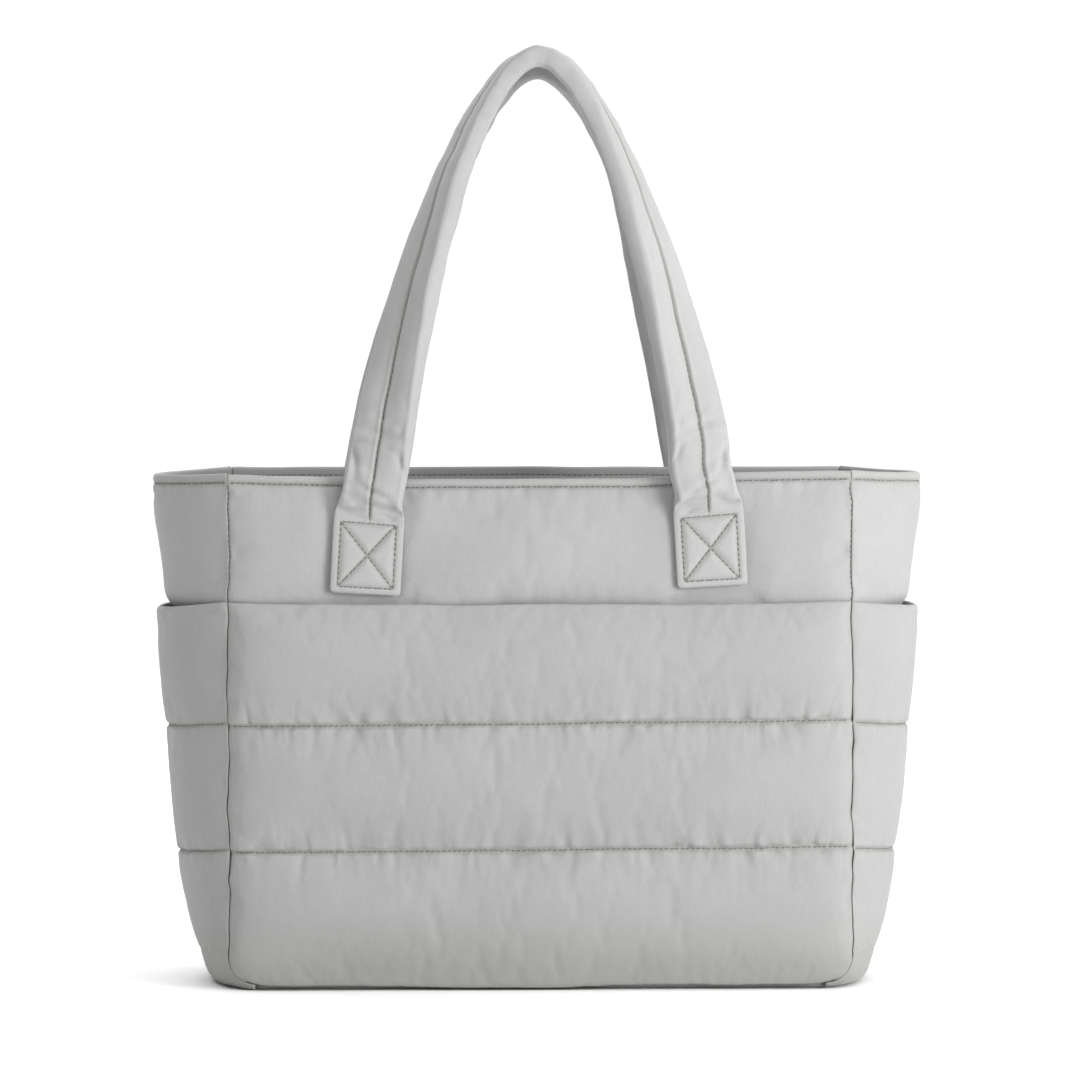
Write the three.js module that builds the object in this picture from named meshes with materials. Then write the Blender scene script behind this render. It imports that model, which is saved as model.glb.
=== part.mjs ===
// A quilted ("puffer") tote bag with a front slip pocket, two side pockets and two padded handles.
// Millimetres, +Z up. The origin is the middle of the base's underside, and the front faces -Y.
// Every wall is a closed sheet of padded cloth: an outer grid of points, an inner one, and a rim between.
import * as THREE from "three";

// Bag body
const PANEL_WIDTH = 352; // front and back panels, side seam to side seam
const BAG_HEIGHT = 291; // floor to rim at the side seams
const BASE_DEPTH = 126; // front face to back face at the base
const RIM_DEPTH = 106; // front face to back face at the rim
const CORNER_RADIUS = 15; // lower corners of the front and back panels
const RIM_FLARE = 43; // how far a gusset stands out past the side seam at the rim
const RIM_SAG = 3; // how far the front rim dips between the handles
const SIDE_SAG = 4.5; // how far a gusset and its pocket hang lower half way across the bag's depth
const FOOT_ROLL = 3.4; // how far the lowest channel bulges down past its seam with the base
const HEM_HEIGHT = 7; // rim to its row of stitches

// Padded cloth
const WALL = 4; // front panel, back panel and gussets at their seams
const BASE_WALL = 4; // base panel
const HEM_WALL = 3; // the folded edge at the rim
const POCKET_WALL = 3; // pocket cloth at its seams and stitch rows
const MOUTH_WALL = 2.5; // pocket cloth at the folded edge of its mouth
const PANEL_PUFF = 4; // how far a channel of a main panel stands out from its stitch rows
const POCKET_PUFF = 5; // the same on the front pocket
const SIDE_PUFF = 1.5; // the same on a side pocket, which is pulled tight round the bag
const CLEARANCE = 0.4; // gap between pieces that are sewn together

// Pockets
const POCKET_HEIGHT = 218.5; // floor to the mouth of every pocket
const POCKET_ROOM = 8; // how far the front pocket stands off the panel behind it
const SIDE_FLARE = 41.5; // how far a side pocket's mouth stands out past the side seam
const SIDE_ROOM = 6.6; // gap between a gusset and the mouth of its pocket

// Handles
const HANDLE_SPACING = 196; // between the middles of a handle's two sewn ends
const HANDLE_RISE = 236; // rim to the middle of the padded strap at its top
const STRAP_WIDTH = 35.5; // padded strap, edge to edge
const STRAP_THICKNESS = 12.5; // padded strap, face to face
const END_WIDTH = 40; // the strap's flattened end, which is sewn to the panel
const END_THICKNESS = 4.4;
const END_LENGTH = 42; // the flattened, box-stitched part of the end
const END_GAP = 5; // pocket mouth to the lower edge of the sewn end
const END_LIFT = 4; // how much higher the front handle's right end is sewn than its left one
const END_INSET = 1.8; // the front handle's right end is sewn this much nearer to the middle
const SWELL_LENGTH = 14; // from the flattened end to the full padded section
const END_TAPER = 3; // the round corners at the strap's very end
const SEAM_GROOVE = 1.3; // depth of the seam along the middle of the strap's outer face
const RIM_RISE = 3; // above the rim, where the strap leaves the panel
const HANDLE_GAP = 1.2; // between the two handles where they lie side by side at the top

const HALF_WIDTH = PANEL_WIDTH / 2;
const CORNER_X = HALF_WIDTH - CORNER_RADIUS; // centre of a lower corner
const CORNER_Z = CORNER_RADIUS + BASE_WALL;
const EDGE_GAP = CLEARANCE / 2; // each of two sewn pieces stays this far from the seam between them
const PANEL_FOOT = CORNER_Z - CORNER_RADIUS + EDGE_GAP; // lower edge of the front and back panels
const HEM_Z = BAG_HEIGHT - HEM_HEIGHT;
const QUILT_LINES = [0.364, 0.69].map((share) => share * POCKET_HEIGHT); // stitch rows across the pockets
const QUARTER_TURN = Math.PI / 2;

// How far a side pocket's outer face stands out past the seam: height as a share of the pocket's
// height above the corner, flare as a share of SIDE_FLARE, room behind it as a share of SIDE_ROOM.
const SIDE_POCKET_SECTIONS = [
  { height: 0, flare: 0.41, room: 0.25 },
  { height: 0.05, flare: 0.468, room: 0.45 },
  { height: 0.14, flare: 0.556, room: 0.85 },
  { height: 0.27, flare: 0.665, room: 1.45 },
  { height: 0.4, flare: 0.732, room: 1.65 },
  { height: 0.52, flare: 0.787, room: 1.75 },
  { height: 0.65, flare: 0.842, room: 1.75 },
  { height: 0.86, flare: 0.932, room: 1.6 },
  { height: 0.94, flare: 0.97, room: 1.3 },
  { height: 1, flare: 1, room: 1 },
];
// A gusset above the pocket's mouth: height as a share of mouth to rim, flare as a share of RIM_FLARE.
const UPPER_GUSSET_SECTIONS = [
  { height: 0.08, flare: 0.828 },
  { height: 0.27, flare: 0.866 },
  { height: 0.5, flare: 0.918 },
  { height: 0.7, flare: 0.972 },
  { height: 1, flare: 1 },
];
// The rim's height along the front panel: across as a share of the half width, rise of RIM_SAG.
const FRONT_RIM = [
  { across: -1, rise: 0 },
  { across: -0.55, rise: -0.8 },
  { across: -0.1, rise: -1 },
  { across: 0.35, rise: -0.75 },
  { across: 0.65, rise: 0.2 },
  { across: 1, rise: 0.5 },
];
// Half of a handle above the rim: rise as a share of HANDLE_RISE, spread as a share of half of
// HANDLE_SPACING, lean as the share of the way from the panel to the middle of the bag.
const HANDLE_SECTIONS = [
  { rise: 0.09, spread: 0.905, lean: 0.04 },
  { rise: 0.2, spread: 0.856, lean: 0.12 },
  { rise: 0.33, spread: 0.783, lean: 0.26 },
  { rise: 0.47, spread: 0.694, lean: 0.43 },
  { rise: 0.61, spread: 0.588, lean: 0.61 },
  { rise: 0.74, spread: 0.475, lean: 0.77 },
  { rise: 0.85, spread: 0.351, lean: 0.89 },
  { rise: 0.93, spread: 0.232, lean: 0.96 },
  { rise: 0.982, spread: 0.113, lean: 0.99 },
  { rise: 1, spread: 0, lean: 1 },
];
// The strap's section: angle round it in degrees, 90 being the middle of the outer face.
const STRAP_ANGLES = [0, 24, 54, 80, 90, 100, 126, 156, 180, 213, 247, 293, 327];

const clamp = THREE.MathUtils.clamp;
const lerp = THREE.MathUtils.lerp;

// A column of a table at a value of its key, on a smooth curve through the rows.
function fromTable(rows, key, column, at) {
  const place = clamp(at, rows[0][key], rows[rows.length - 1][key]);
  let i = 0;
  while (i < rows.length - 2 && place > rows[i + 1][key]) i += 1;
  const slope = (a, b) => (rows[b][column] - rows[a][column]) / (rows[b][key] - rows[a][key]);
  const tangent = (k) => slope(Math.max(k - 1, 0), Math.min(k + 1, rows.length - 1));
  const span = rows[i + 1][key] - rows[i][key];
  const t = (place - rows[i][key]) / span;
  const rest = 1 - t;
  return (
    (1 + 2 * t) * rest * rest * rows[i][column] +
    t * rest * rest * span * tangent(i) +
    t * t * (3 - 2 * t) * rows[i + 1][column] -
    t * t * rest * span * tangent(i + 1)
  );
}

// 0 on two stitch rows, 1 half way between them, and steep beside the stitches.
function pillow(share) {
  const off = Math.abs(2 * clamp(share, 0, 1) - 1);
  return Math.pow(1 - Math.pow(off, 2.4), 0.62);
}

// The pillow of the channel that a height lies in, between the given stitch rows.
function channelPillow(lines, z) {
  for (let i = 0; i + 1 < lines.length; i += 1) {
    if (z <= lines[i + 1]) return pillow((z - lines[i]) / (lines[i + 1] - lines[i]));
  }
  return 0;
}

// Heights for the rows of a grid: every stitch row, and four more in each channel between them.
function channelHeights(lines) {
  const heights = [lines[0]];
  for (let i = 0; i + 1 < lines.length; i += 1) {
    for (const share of [0.1, 0.32, 0.68, 0.9, 1]) heights.push(lerp(lines[i], lines[i + 1], share));
  }
  return heights;
}

// Half the bag's depth, from its middle to the outer face at the seams.
function halfDepth(z) {
  const share = clamp((z - CORNER_Z) / (BAG_HEIGHT - CORNER_Z), 0, 1);
  return lerp(BASE_DEPTH, RIM_DEPTH, share) / 2;
}

// Half the width of a front or back panel, which is round at its lower corners.
function halfPanel(z) {
  const radius = CORNER_RADIUS - EDGE_GAP;
  const below = clamp(CORNER_Z - z, 0, radius);
  return CORNER_X + Math.sqrt(radius * radius - below * below);
}

// A closed wall from an outer and an inner grid of the same size, turned so that it faces out.
function wallGeometry(outer, inner) {
  const rows = outer.length;
  const columns = outer[0].length;
  const points = [...outer.flat(), ...inner.flat()];
  const faces = [];
  const at = (layer, i, j) => layer * rows * columns + i * columns + j;
  const quad = (a, b, c, d) => faces.push(a, b, c, a, c, d);
  for (let i = 0; i + 1 < rows; i += 1) {
    for (let j = 0; j + 1 < columns; j += 1) {
      quad(at(0, i, j), at(0, i, j + 1), at(0, i + 1, j + 1), at(0, i + 1, j));
      quad(at(1, i, j), at(1, i + 1, j), at(1, i + 1, j + 1), at(1, i, j + 1));
    }
    quad(at(0, i, 0), at(0, i + 1, 0), at(1, i + 1, 0), at(1, i, 0));
    quad(at(0, i + 1, columns - 1), at(0, i, columns - 1), at(1, i, columns - 1), at(1, i + 1, columns - 1));
  }
  for (let j = 0; j + 1 < columns; j += 1) {
    quad(at(0, 0, j + 1), at(0, 0, j), at(1, 0, j), at(1, 0, j + 1));
    quad(at(0, rows - 1, j), at(0, rows - 1, j + 1), at(1, rows - 1, j + 1), at(1, rows - 1, j));
  }
  return closedGeometry(points, faces);
}

// A geometry from points and triangles, with the triangles turned round if they face inwards.
function closedGeometry(points, faces) {
  let volume = 0;
  for (let i = 0; i < faces.length; i += 3) {
    const [a, b, c] = [points[faces[i]], points[faces[i + 1]], points[faces[i + 2]]];
    volume += a.dot(new THREE.Vector3().crossVectors(b, c));
  }
  const turned = volume < 0 ? [...faces].reverse() : faces;
  const geometry = new THREE.BufferGeometry().setFromPoints(points);
  geometry.setIndex(turned);
  geometry.computeVertexNormals();
  return geometry;
}

// Front and back panels

const SEAT_SHARE = 0.3; // how much of a panel's puff is left where a handle's end is sewn over it
const SEAT_MARGIN = 5; // how far past the sewn end's edge the panel stays flat
const SEAT_RAMP = 9; // from there to the panel's full puff
const SEAT_HALF = END_WIDTH / 2 + SEAT_MARGIN;

// How much of a panel's puff is left across it: 1 clear of the handles.
function seatShare(x) {
  const away = Math.abs(Math.abs(x) - HANDLE_SPACING / 2) - SEAT_HALF;
  return lerp(SEAT_SHARE, 1, clamp(away / SEAT_RAMP, 0, 1));
}

// 1 over most of a panel's width, and 0 at its side seams.
function sideFall(share) {
  return Math.pow(1 - Math.pow(Math.abs(share), 14), 0.6);
}

// Places across a panel for the columns of its grid, closer at the seams and beside the handles.
function panelColumns() {
  const seat = HANDLE_SPACING / 2;
  const right = [
    0,
    0.22 * HALF_WIDTH,
    seat - SEAT_HALF - SEAT_RAMP,
    seat - SEAT_HALF,
    seat + SEAT_HALF,
    seat + SEAT_HALF + SEAT_RAMP,
    0.9 * HALF_WIDTH,
    0.965 * HALF_WIDTH,
    HALF_WIDTH,
  ]
    .map((x) => clamp(x / HALF_WIDTH, 0, 1))
    .sort((a, b) => a - b)
    .filter((share, i, all) => i === 0 || share - all[i - 1] > 0.01);
  return [...right.slice(1).map((share) => -share).reverse(), ...right];
}

// The rim's height above BAG_HEIGHT along the front (side -1) or back (side 1) panel.
function rimRise(side, across) {
  return side < 0 ? RIM_SAG * fromTable(FRONT_RIM, "across", "rise", across) : 0;
}

// How much of the rim's rise reaches down to a height.
function rimShare(z) {
  return THREE.MathUtils.smoothstep(z, POCKET_HEIGHT, BAG_HEIGHT);
}

// How far the outer face hangs below its own seam along the base.
function footRoll(share, z) {
  const low = 1 - clamp((z - PANEL_FOOT) / (2 * FOOT_ROLL), 0, 1);
  return FOOT_ROLL * low * (1 - Math.pow(Math.abs(share), 10));
}

// A main panel: side -1 is the front, whose puff starts above the pocket, and side 1 the back.
function panelLines(side) {
  const low = side < 0 ? [PANEL_FOOT, POCKET_HEIGHT] : [PANEL_FOOT, ...QUILT_LINES, POCKET_HEIGHT];
  return [...low, HEM_Z, BAG_HEIGHT];
}

// How far a panel's outer face stands out from its seams.
function panelPuff(side, x, z) {
  if (side < 0 && z <= POCKET_HEIGHT) return 0;
  const height = z > HEM_Z ? 0.2 * PANEL_PUFF : PANEL_PUFF;
  const seat = z > POCKET_HEIGHT ? seatShare(x) : 1;
  return height * seat * channelPillow(panelLines(side), z) * sideFall(x / HALF_WIDTH);
}

function panelGeometry(side) {
  const outer = [];
  const inner = [];
  for (const z of channelHeights(panelLines(side))) {
    const wall = z >= HEM_Z ? HEM_WALL : WALL;
    const place = (share, y) => {
      const rise = rimRise(side, share) * rimShare(z);
      return new THREE.Vector3(share * halfPanel(z), side * y, z + rise);
    };
    const face = (share) => halfDepth(z) + panelPuff(side, share * HALF_WIDTH, z);
    const columns = panelColumns();
    outer.push(columns.map((share) => place(share, face(share))));
    inner.push(columns.map((share) => place(share, halfDepth(z) - wall)));
  }
  return wallGeometry(outer, inner);
}

// Front pocket: one wide slip pocket, sewn in at the side seams and along the base

// How far the pocket's inner face stands off the panel: closed at its seams, open at the mouth.
function pocketRoom(share, z) {
  const rise = clamp((z - PANEL_FOOT) / (POCKET_HEIGHT - PANEL_FOOT), 0, 1);
  return POCKET_ROOM * Math.pow(rise, 0.3) * Math.pow(1 - Math.pow(Math.abs(share), 12), 0.7);
}

function frontPocketGeometry() {
  const lines = [PANEL_FOOT, ...QUILT_LINES, POCKET_HEIGHT];
  const outer = [];
  const inner = [];
  for (const z of channelHeights(lines)) {
    const wall = z < POCKET_HEIGHT ? POCKET_WALL : MOUTH_WALL;
    const start = halfDepth(z) + CLEARANCE;
    const place = (share, y, drop) => new THREE.Vector3(share * halfPanel(z), -y, z - drop);
    const puff = (share) => POCKET_PUFF * channelPillow(lines, z) * sideFall(share);
    const face = (share) => start + pocketRoom(share, z) + wall + puff(share);
    const columns = panelColumns();
    outer.push(columns.map((share) => place(share, face(share), footRoll(share, z))));
    inner.push(columns.map((share) => place(share, start + pocketRoom(share, z), 0)));
  }
  return wallGeometry(outer, inner);
}

// Gussets, side pockets and base: strips that run down the side, round the lower corner and under

const ACROSS = [-1, -0.96, -0.88, -0.7, -0.48, -0.24, 0, 0.24, 0.48, 0.7, 0.88, 0.96, 1];
const ARC = 2; // exponent of a gusset's section
const POCKET_ARC = 2.3; // a pocket's section is a little fuller
const FLAT = 40; // under the bag a strip is flat with round edges
const CORNER_STEPS = 7; // stations of a gusset past the lower corner
const POCKET_STEPS = 4; // a side pocket ends under the bag, at this one of them
const CORNER_FULLNESS = 0.94; // how much of its flare a strip keeps where it turns under

// How full a strip's section is across the bag's depth: an arc at the side, and flat under the bag.
function fullness(across, exponent) {
  return 1 - Math.pow(Math.abs(across), exponent);
}

function pocketFlare(z) {
  const share = (z - CORNER_Z) / (POCKET_HEIGHT - CORNER_Z);
  return SIDE_FLARE * fromTable(SIDE_POCKET_SECTIONS, "height", "flare", share);
}

// Cloth of the side pocket at a stitch row, thinner along its mouth.
function pocketWall(z) {
  return z < POCKET_HEIGHT ? POCKET_WALL : MOUTH_WALL;
}

// The gusset's outer face past the seam: behind the pocket it keeps the pocket's room clear.
function gussetFlare(z) {
  if (z > POCKET_HEIGHT) {
    const mouth = gussetFlare(POCKET_HEIGHT) / RIM_FLARE;
    const share = (z - POCKET_HEIGHT) / (BAG_HEIGHT - POCKET_HEIGHT);
    const rows = [{ height: 0, flare: mouth }, ...UPPER_GUSSET_SECTIONS];
    return RIM_FLARE * fromTable(rows, "height", "flare", share);
  }
  const share = (z - CORNER_Z) / (POCKET_HEIGHT - CORNER_Z);
  const room = SIDE_ROOM * fromTable(SIDE_POCKET_SECTIONS, "height", "room", share);
  return pocketFlare(z) - pocketWall(z) - CLEARANCE - room;
}

// A station of a strip: a point on the side seam and the way out from it, turning under the corner.
// floor is how far out the strip may reach before it comes down to the given height.
function station(turn, z, lowest = 0) {
  const angle = turn * QUARTER_TURN;
  const radius = CORNER_RADIUS + EDGE_GAP;
  const out = new THREE.Vector3(Math.cos(angle), 0, -Math.sin(angle));
  const floor = turn > 0 ? (CORNER_Z - lowest) / Math.sin(angle) - radius : Infinity;
  const centre = new THREE.Vector3(CORNER_X, 0, turn > 0 ? CORNER_Z : z);
  return { seam: centre.addScaledVector(out, radius), out, floor };
}

// The exponent of a strip's section, which goes from its arc to flat as it turns under the corner.
function turnedExponent(arc, turn) {
  return lerp(arc, FLAT, Math.pow(turn, 4));
}

// One row of a strip's grid. flare is the way from the seam to its face, half its reach in depth.
function stripRow(side, place, flare, half, exponent, rise) {
  return ACROSS.map((across) => {
    const out = flare * fullness(across, exponent);
    const point = place.seam.clone().addScaledVector(place.out, out);
    return new THREE.Vector3(side * point.x, across * half, point.z + rise(across));
  });
}

// How much lower a gusset or its pocket hangs at a height, between its seams with the panels.
function sideSag(across, z) {
  const share = THREE.MathUtils.smoothstep(z, CORNER_Z, QUILT_LINES[0]);
  return -SIDE_SAG * share * (1 - across * across);
}

// The gusset's rim meets both panels' rims, and sags between them.
function gussetRim(side) {
  const front = rimRise(-1, side);
  return (across, z) => lerp(front, 0, (across + 1) / 2) * rimShare(z) + sideSag(across, z);
}

function gussetGeometry(side) {
  const heights = [
    ...[1, 0.6, 0.25, 0].map((share) => lerp(HEM_Z, BAG_HEIGHT, share)),
    ...[0.75, 0.5, 0.25, 0.1, 0].map((share) => lerp(POCKET_HEIGHT, HEM_Z, share)),
    ...[0.93, 0.84, 0.7, 0.52, 0.34, 0.17, 0].map((share) => lerp(CORNER_Z, POCKET_HEIGHT, share)),
  ];
  const rim = gussetRim(side);
  const stations = heights.map((z) => {
    const wall = z >= HEM_Z ? HEM_WALL : WALL;
    return { place: station(0, z), z, flare: gussetFlare(z), exponent: ARC, wall };
  });
  for (let i = 1; i <= CORNER_STEPS; i += 1) {
    const turn = i / CORNER_STEPS;
    const exponent = turnedExponent(ARC, turn);
    const lowest = i <= POCKET_STEPS ? POCKET_WALL + CLEARANCE : 0;
    const flare = CORNER_FULLNESS * gussetFlare(CORNER_Z);
    stations.push({ place: station(turn, 0, lowest), z: 0, flare, exponent, wall: WALL });
  }
  const layer = (inset) =>
    stations.map(({ place, z, flare, exponent, wall }) => {
      const half = halfDepth(z) - inset * wall;
      const out = Math.min(flare, place.floor) - inset * wall;
      return stripRow(side, place, out, half, exponent, (across) => rim(across, z));
    });
  return wallGeometry(layer(0), layer(1));
}

function sidePocketGeometry(side) {
  const lines = [CORNER_Z, ...QUILT_LINES, POCKET_HEIGHT];
  const stations = channelHeights(lines)
    .reverse()
    .map((z) => {
      const flare = pocketFlare(z);
      return { place: station(0, z), z, flare, exponent: POCKET_ARC, wall: pocketWall(z) };
    });
  for (let i = 0.5; i <= POCKET_STEPS; i += 0.5) {
    const turn = i / CORNER_STEPS;
    const flare = CORNER_FULLNESS * pocketFlare(CORNER_Z);
    const exponent = turnedExponent(POCKET_ARC, turn);
    stations.push({ place: station(turn, 0), z: 0, flare, exponent, wall: POCKET_WALL });
  }
  const layer = (inset) =>
    stations.map(({ place, z, flare, exponent, wall }) => {
      const puff = SIDE_PUFF * channelPillow(lines, z);
      const half = halfDepth(z) + CLEARANCE + (1 - inset) * wall;
      const out = Math.min(flare + puff, place.floor) - inset * (wall + puff);
      return stripRow(side, place, out, half, exponent, (across) => sideSag(across, z));
    });
  return wallGeometry(layer(0), layer(1));
}

// The base panel, between the two gussets' lower ends.
function baseGeometry() {
  const reach = CORNER_X - EDGE_GAP;
  const half = halfDepth(0);
  const rows = (layer) =>
    [-1, 1].map((end) =>
      ACROSS.map((across) => {
        const drop = (1 - layer) * (BASE_WALL - EDGE_GAP) * fullness(across, FLAT);
        return new THREE.Vector3(end * reach, across * (half - layer * WALL), BASE_WALL - EDGE_GAP - drop);
      }),
    );
  return wallGeometry(rows(0), rows(1));
}

// Handles: a padded strap whose two flattened ends are box-stitched to a panel

const STRAP_SHAPE = 2.5; // exponent of the padded section, an ellipse being 2
const END_SHAPE = 6; // the flattened end is nearly a rectangle
const STRAP_STEP = 14; // between rings along the strap

// Heights of the strap's middle line on a panel, from its sewn end up to the rim, with how far each
// lies from the bag's middle as a share of half of HANDLE_SPACING. arm is -1 on the left.
function armOnPanel(side, arm) {
  const lift = side < 0 ? (arm * END_LIFT) / 2 : 0;
  const foot = POCKET_HEIGHT + END_GAP + END_LIFT / 2 + lift;
  return [
    { z: foot, spread: 1.01, thick: END_THICKNESS },
    { z: foot + END_LENGTH * 0.7, spread: 0.993, thick: END_THICKNESS },
    { z: foot + END_LENGTH, spread: 0.985, thick: END_THICKNESS },
    { z: foot + END_LENGTH + SWELL_LENGTH, spread: 0.965, thick: STRAP_THICKNESS },
    { z: BAG_HEIGHT + RIM_RISE, spread: 0.938, thick: STRAP_THICKNESS },
  ];
}

// Points of the strap's middle line from its left end over the top to its right end.
function handlePath(side) {
  const half = HANDLE_SPACING / 2;
  const top = (STRAP_WIDTH + HANDLE_GAP) / 2;
  const seat = (z) => halfDepth(z) + SEAT_SHARE * PANEL_PUFF + CLEARANCE;
  const arm = (sign) => {
    const panel = armOnPanel(side, sign).map(({ z, spread, thick }) => {
      const inset = side < 0 && sign > 0 ? END_INSET : 0;
      return new THREE.Vector3(sign * (spread * half - inset), side * (seat(z) + thick / 2), z);
    });
    const rim = panel[panel.length - 1];
    const loop = HANDLE_SECTIONS.map(({ rise, spread, lean }) => {
      const z = BAG_HEIGHT + rise * HANDLE_RISE;
      return new THREE.Vector3(sign * spread * half, lerp(rim.y, side * top, lean), z);
    });
    return [...panel, ...loop];
  };
  return [...arm(-1), ...arm(1).slice(0, -1).reverse()];
}

// One ring of the strap: its section at a point of the middle line.
function strapRing(centre, widthAxis, faceAxis, half, thick, shape, groove) {
  return STRAP_ANGLES.map((degrees) => {
    const angle = THREE.MathUtils.degToRad(degrees);
    const power = (value) => Math.sign(value) * Math.pow(Math.abs(value), 2 / shape);
    const dent = groove * Math.max(0, 1 - Math.abs(degrees - 90) / 7);
    return centre
      .clone()
      .addScaledVector(widthAxis, half * power(Math.cos(angle)))
      .addScaledVector(faceAxis, (thick / 2) * power(Math.sin(angle)) - dent);
  });
}

// The strap lies flat on the panel at its ends and stands on edge at the top: a quarter turn in all.
function handleGeometry(side) {
  const curve = new THREE.CatmullRomCurve3(handlePath(side), false, "centripetal");
  curve.arcLengthDivisions = 600;
  const length = curve.getLength();
  const steps = Math.round(length / STRAP_STEP);
  const ends = [0, END_TAPER, END_LENGTH / 2, END_LENGTH, END_LENGTH + SWELL_LENGTH / 2];
  const places = [...ends, ...ends.map((at) => length - at)];
  const clear = END_LENGTH + SWELL_LENGTH * 0.9;
  for (let i = 0; i <= steps; i += 1) {
    const at = lerp(clear, length - clear, i / steps);
    places.push(at);
  }
  places.sort((a, b) => a - b);
  const rings = places.map((at) => {
    const share = at / length;
    const fromEnd = Math.min(at, length - at);
    const swell = THREE.MathUtils.smoothstep(fromEnd, END_LENGTH, END_LENGTH + SWELL_LENGTH);
    const turn = clamp((fromEnd - END_LENGTH) / (length / 2 - END_LENGTH), 0, 1) * QUARTER_TURN;
    const tangent = curve.getTangentAt(share);
    const depth = new THREE.Vector3(0, side, 0);
    const away = depth.clone().addScaledVector(tangent, -depth.dot(tangent)).normalize();
    const around = new THREE.Vector3(-tangent.z, 0, tangent.x).normalize();
    const face = away.multiplyScalar(Math.cos(turn)).addScaledVector(around, Math.sin(turn));
    face.addScaledVector(tangent, -face.dot(tangent)).normalize();
    const width = new THREE.Vector3().crossVectors(tangent, face);
    const taper = fromEnd < END_TAPER / 2 ? END_TAPER : 0;
    const half = lerp(END_WIDTH, STRAP_WIDTH, swell) / 2 - taper;
    const thick = lerp(END_THICKNESS, STRAP_THICKNESS, swell);
    const shape = lerp(END_SHAPE, STRAP_SHAPE, swell);
    return strapRing(curve.getPointAt(share), width, face, half, thick, shape, SEAM_GROOVE * swell);
  });
  return tubeGeometry(rings);
}

// A closed tube through rings of points, with a flat cap at each end.
function tubeGeometry(rings) {
  const around = rings[0].length;
  const faces = [];
  for (let i = 0; i + 1 < rings.length; i += 1) {
    for (let j = 0; j < around; j += 1) {
      const next = (j + 1) % around;
      const [a, b] = [i * around + j, i * around + next];
      faces.push(a, b, b + around, a, b + around, a + around);
    }
  }
  const last = (rings.length - 1) * around;
  for (let j = 1; j + 1 < around; j += 1) {
    faces.push(0, j + 1, j);
    faces.push(last, last + j, last + j + 1);
  }
  return closedGeometry(rings.flat(), faces);
}

// The bag

const CLOTH = { color: 0xb9bbbb, roughness: 0.8, metalness: 0 };

function piece(name, geometry) {
  const mesh = new THREE.Mesh(geometry, new THREE.MeshStandardMaterial(CLOTH));
  mesh.name = name;
  return mesh;
}

const body = new THREE.Group();
body.add(
  piece("front_panel", panelGeometry(-1)),
  piece("back_panel", panelGeometry(1)),
  piece("base_panel", baseGeometry()),
  piece("gusset_left", gussetGeometry(-1)),
  piece("gusset_right", gussetGeometry(1)),
);

const pockets = new THREE.Group();
pockets.add(
  piece("front_pocket", frontPocketGeometry()),
  piece("side_pocket_left", sidePocketGeometry(-1)),
  piece("side_pocket_right", sidePocketGeometry(1)),
);

const handles = new THREE.Group();
handles.add(piece("handle_front", handleGeometry(-1)), piece("handle_back", handleGeometry(1)));

const bag = new THREE.Group();
bag.add(body, pockets, handles);

export default bag;
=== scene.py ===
# %% [markdown]
# A quilted tote bag, dressed in Blender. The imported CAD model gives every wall, pocket and handle its
# place and size in metres, with the origin under the middle of the base and the front towards -Y.
# This lesson builds the soft cloth over it: each wall becomes a sheet of points worked out with
# numpy, a cloth simulation blows up its padded channels, and thread, seams and weave come last.
# Sheets are worked out rather than sculpted because two numbers, how far across and how far up,
# already say where a point of a sewn bag lies.

import bpy
import numpy as np
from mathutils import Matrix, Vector


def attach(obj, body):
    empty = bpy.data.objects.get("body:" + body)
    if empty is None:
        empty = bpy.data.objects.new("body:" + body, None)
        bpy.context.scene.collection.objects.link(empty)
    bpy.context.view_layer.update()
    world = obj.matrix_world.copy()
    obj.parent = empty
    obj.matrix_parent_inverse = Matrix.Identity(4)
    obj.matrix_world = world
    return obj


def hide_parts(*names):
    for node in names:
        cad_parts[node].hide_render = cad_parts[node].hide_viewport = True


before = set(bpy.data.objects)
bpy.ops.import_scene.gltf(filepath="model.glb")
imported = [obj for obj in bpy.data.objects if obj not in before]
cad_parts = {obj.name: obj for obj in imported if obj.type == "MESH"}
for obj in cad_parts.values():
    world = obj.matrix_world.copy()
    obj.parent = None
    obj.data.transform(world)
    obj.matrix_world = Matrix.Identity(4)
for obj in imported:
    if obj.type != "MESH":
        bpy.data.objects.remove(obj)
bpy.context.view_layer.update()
print("nodes:", sorted(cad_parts))

# %% [markdown]
# The camera stands about four metres away with a long lens, a little above the rim and a touch to
# the left. From there the rim, the base line and both side walls line up with the photograph, and
# upright lines stay upright. It comes first, so that every later step can be judged through it.

# %% Camera
MM = 0.001
AIM = np.array([1.5, 0.0, 251.0])
DISTANCE, AZIMUTH, EYE_HEIGHT = 4000.0, np.radians(-1.7), 450.0
SENSOR_WIDTH, FOCAL_PIXELS, PHOTO_PIXELS = 36.0, 7000, 1080
eye = np.array([AIM[0] + DISTANCE * np.sin(AZIMUTH), -DISTANCE * np.cos(AZIMUTH), EYE_HEIGHT])
camera = bpy.data.objects.new("camera", bpy.data.cameras.new("camera"))
bpy.context.scene.collection.objects.link(camera)
camera.location = eye * MM
camera.rotation_euler = Vector((AIM - eye) * MM).to_track_quat("-Z", "Y").to_euler()
camera.data.sensor_width = SENSOR_WIDTH
camera.data.lens = SENSOR_WIDTH * FOCAL_PIXELS / PHOTO_PIXELS
camera.data.clip_end = 100.0
bpy.context.scene.camera = camera
print("lens, mm:", round(camera.data.lens, 1))

# %% [markdown]
# These are the sizes of the real bag in millimetres, the same ones that the CAD source names: the
# body is a shallow wedge, 126 mm deep at the base and 106 mm at the rim, and its side walls stand
# out past the side seams in an arc. Two stitch rows cross every pocket and give three channels.

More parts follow.
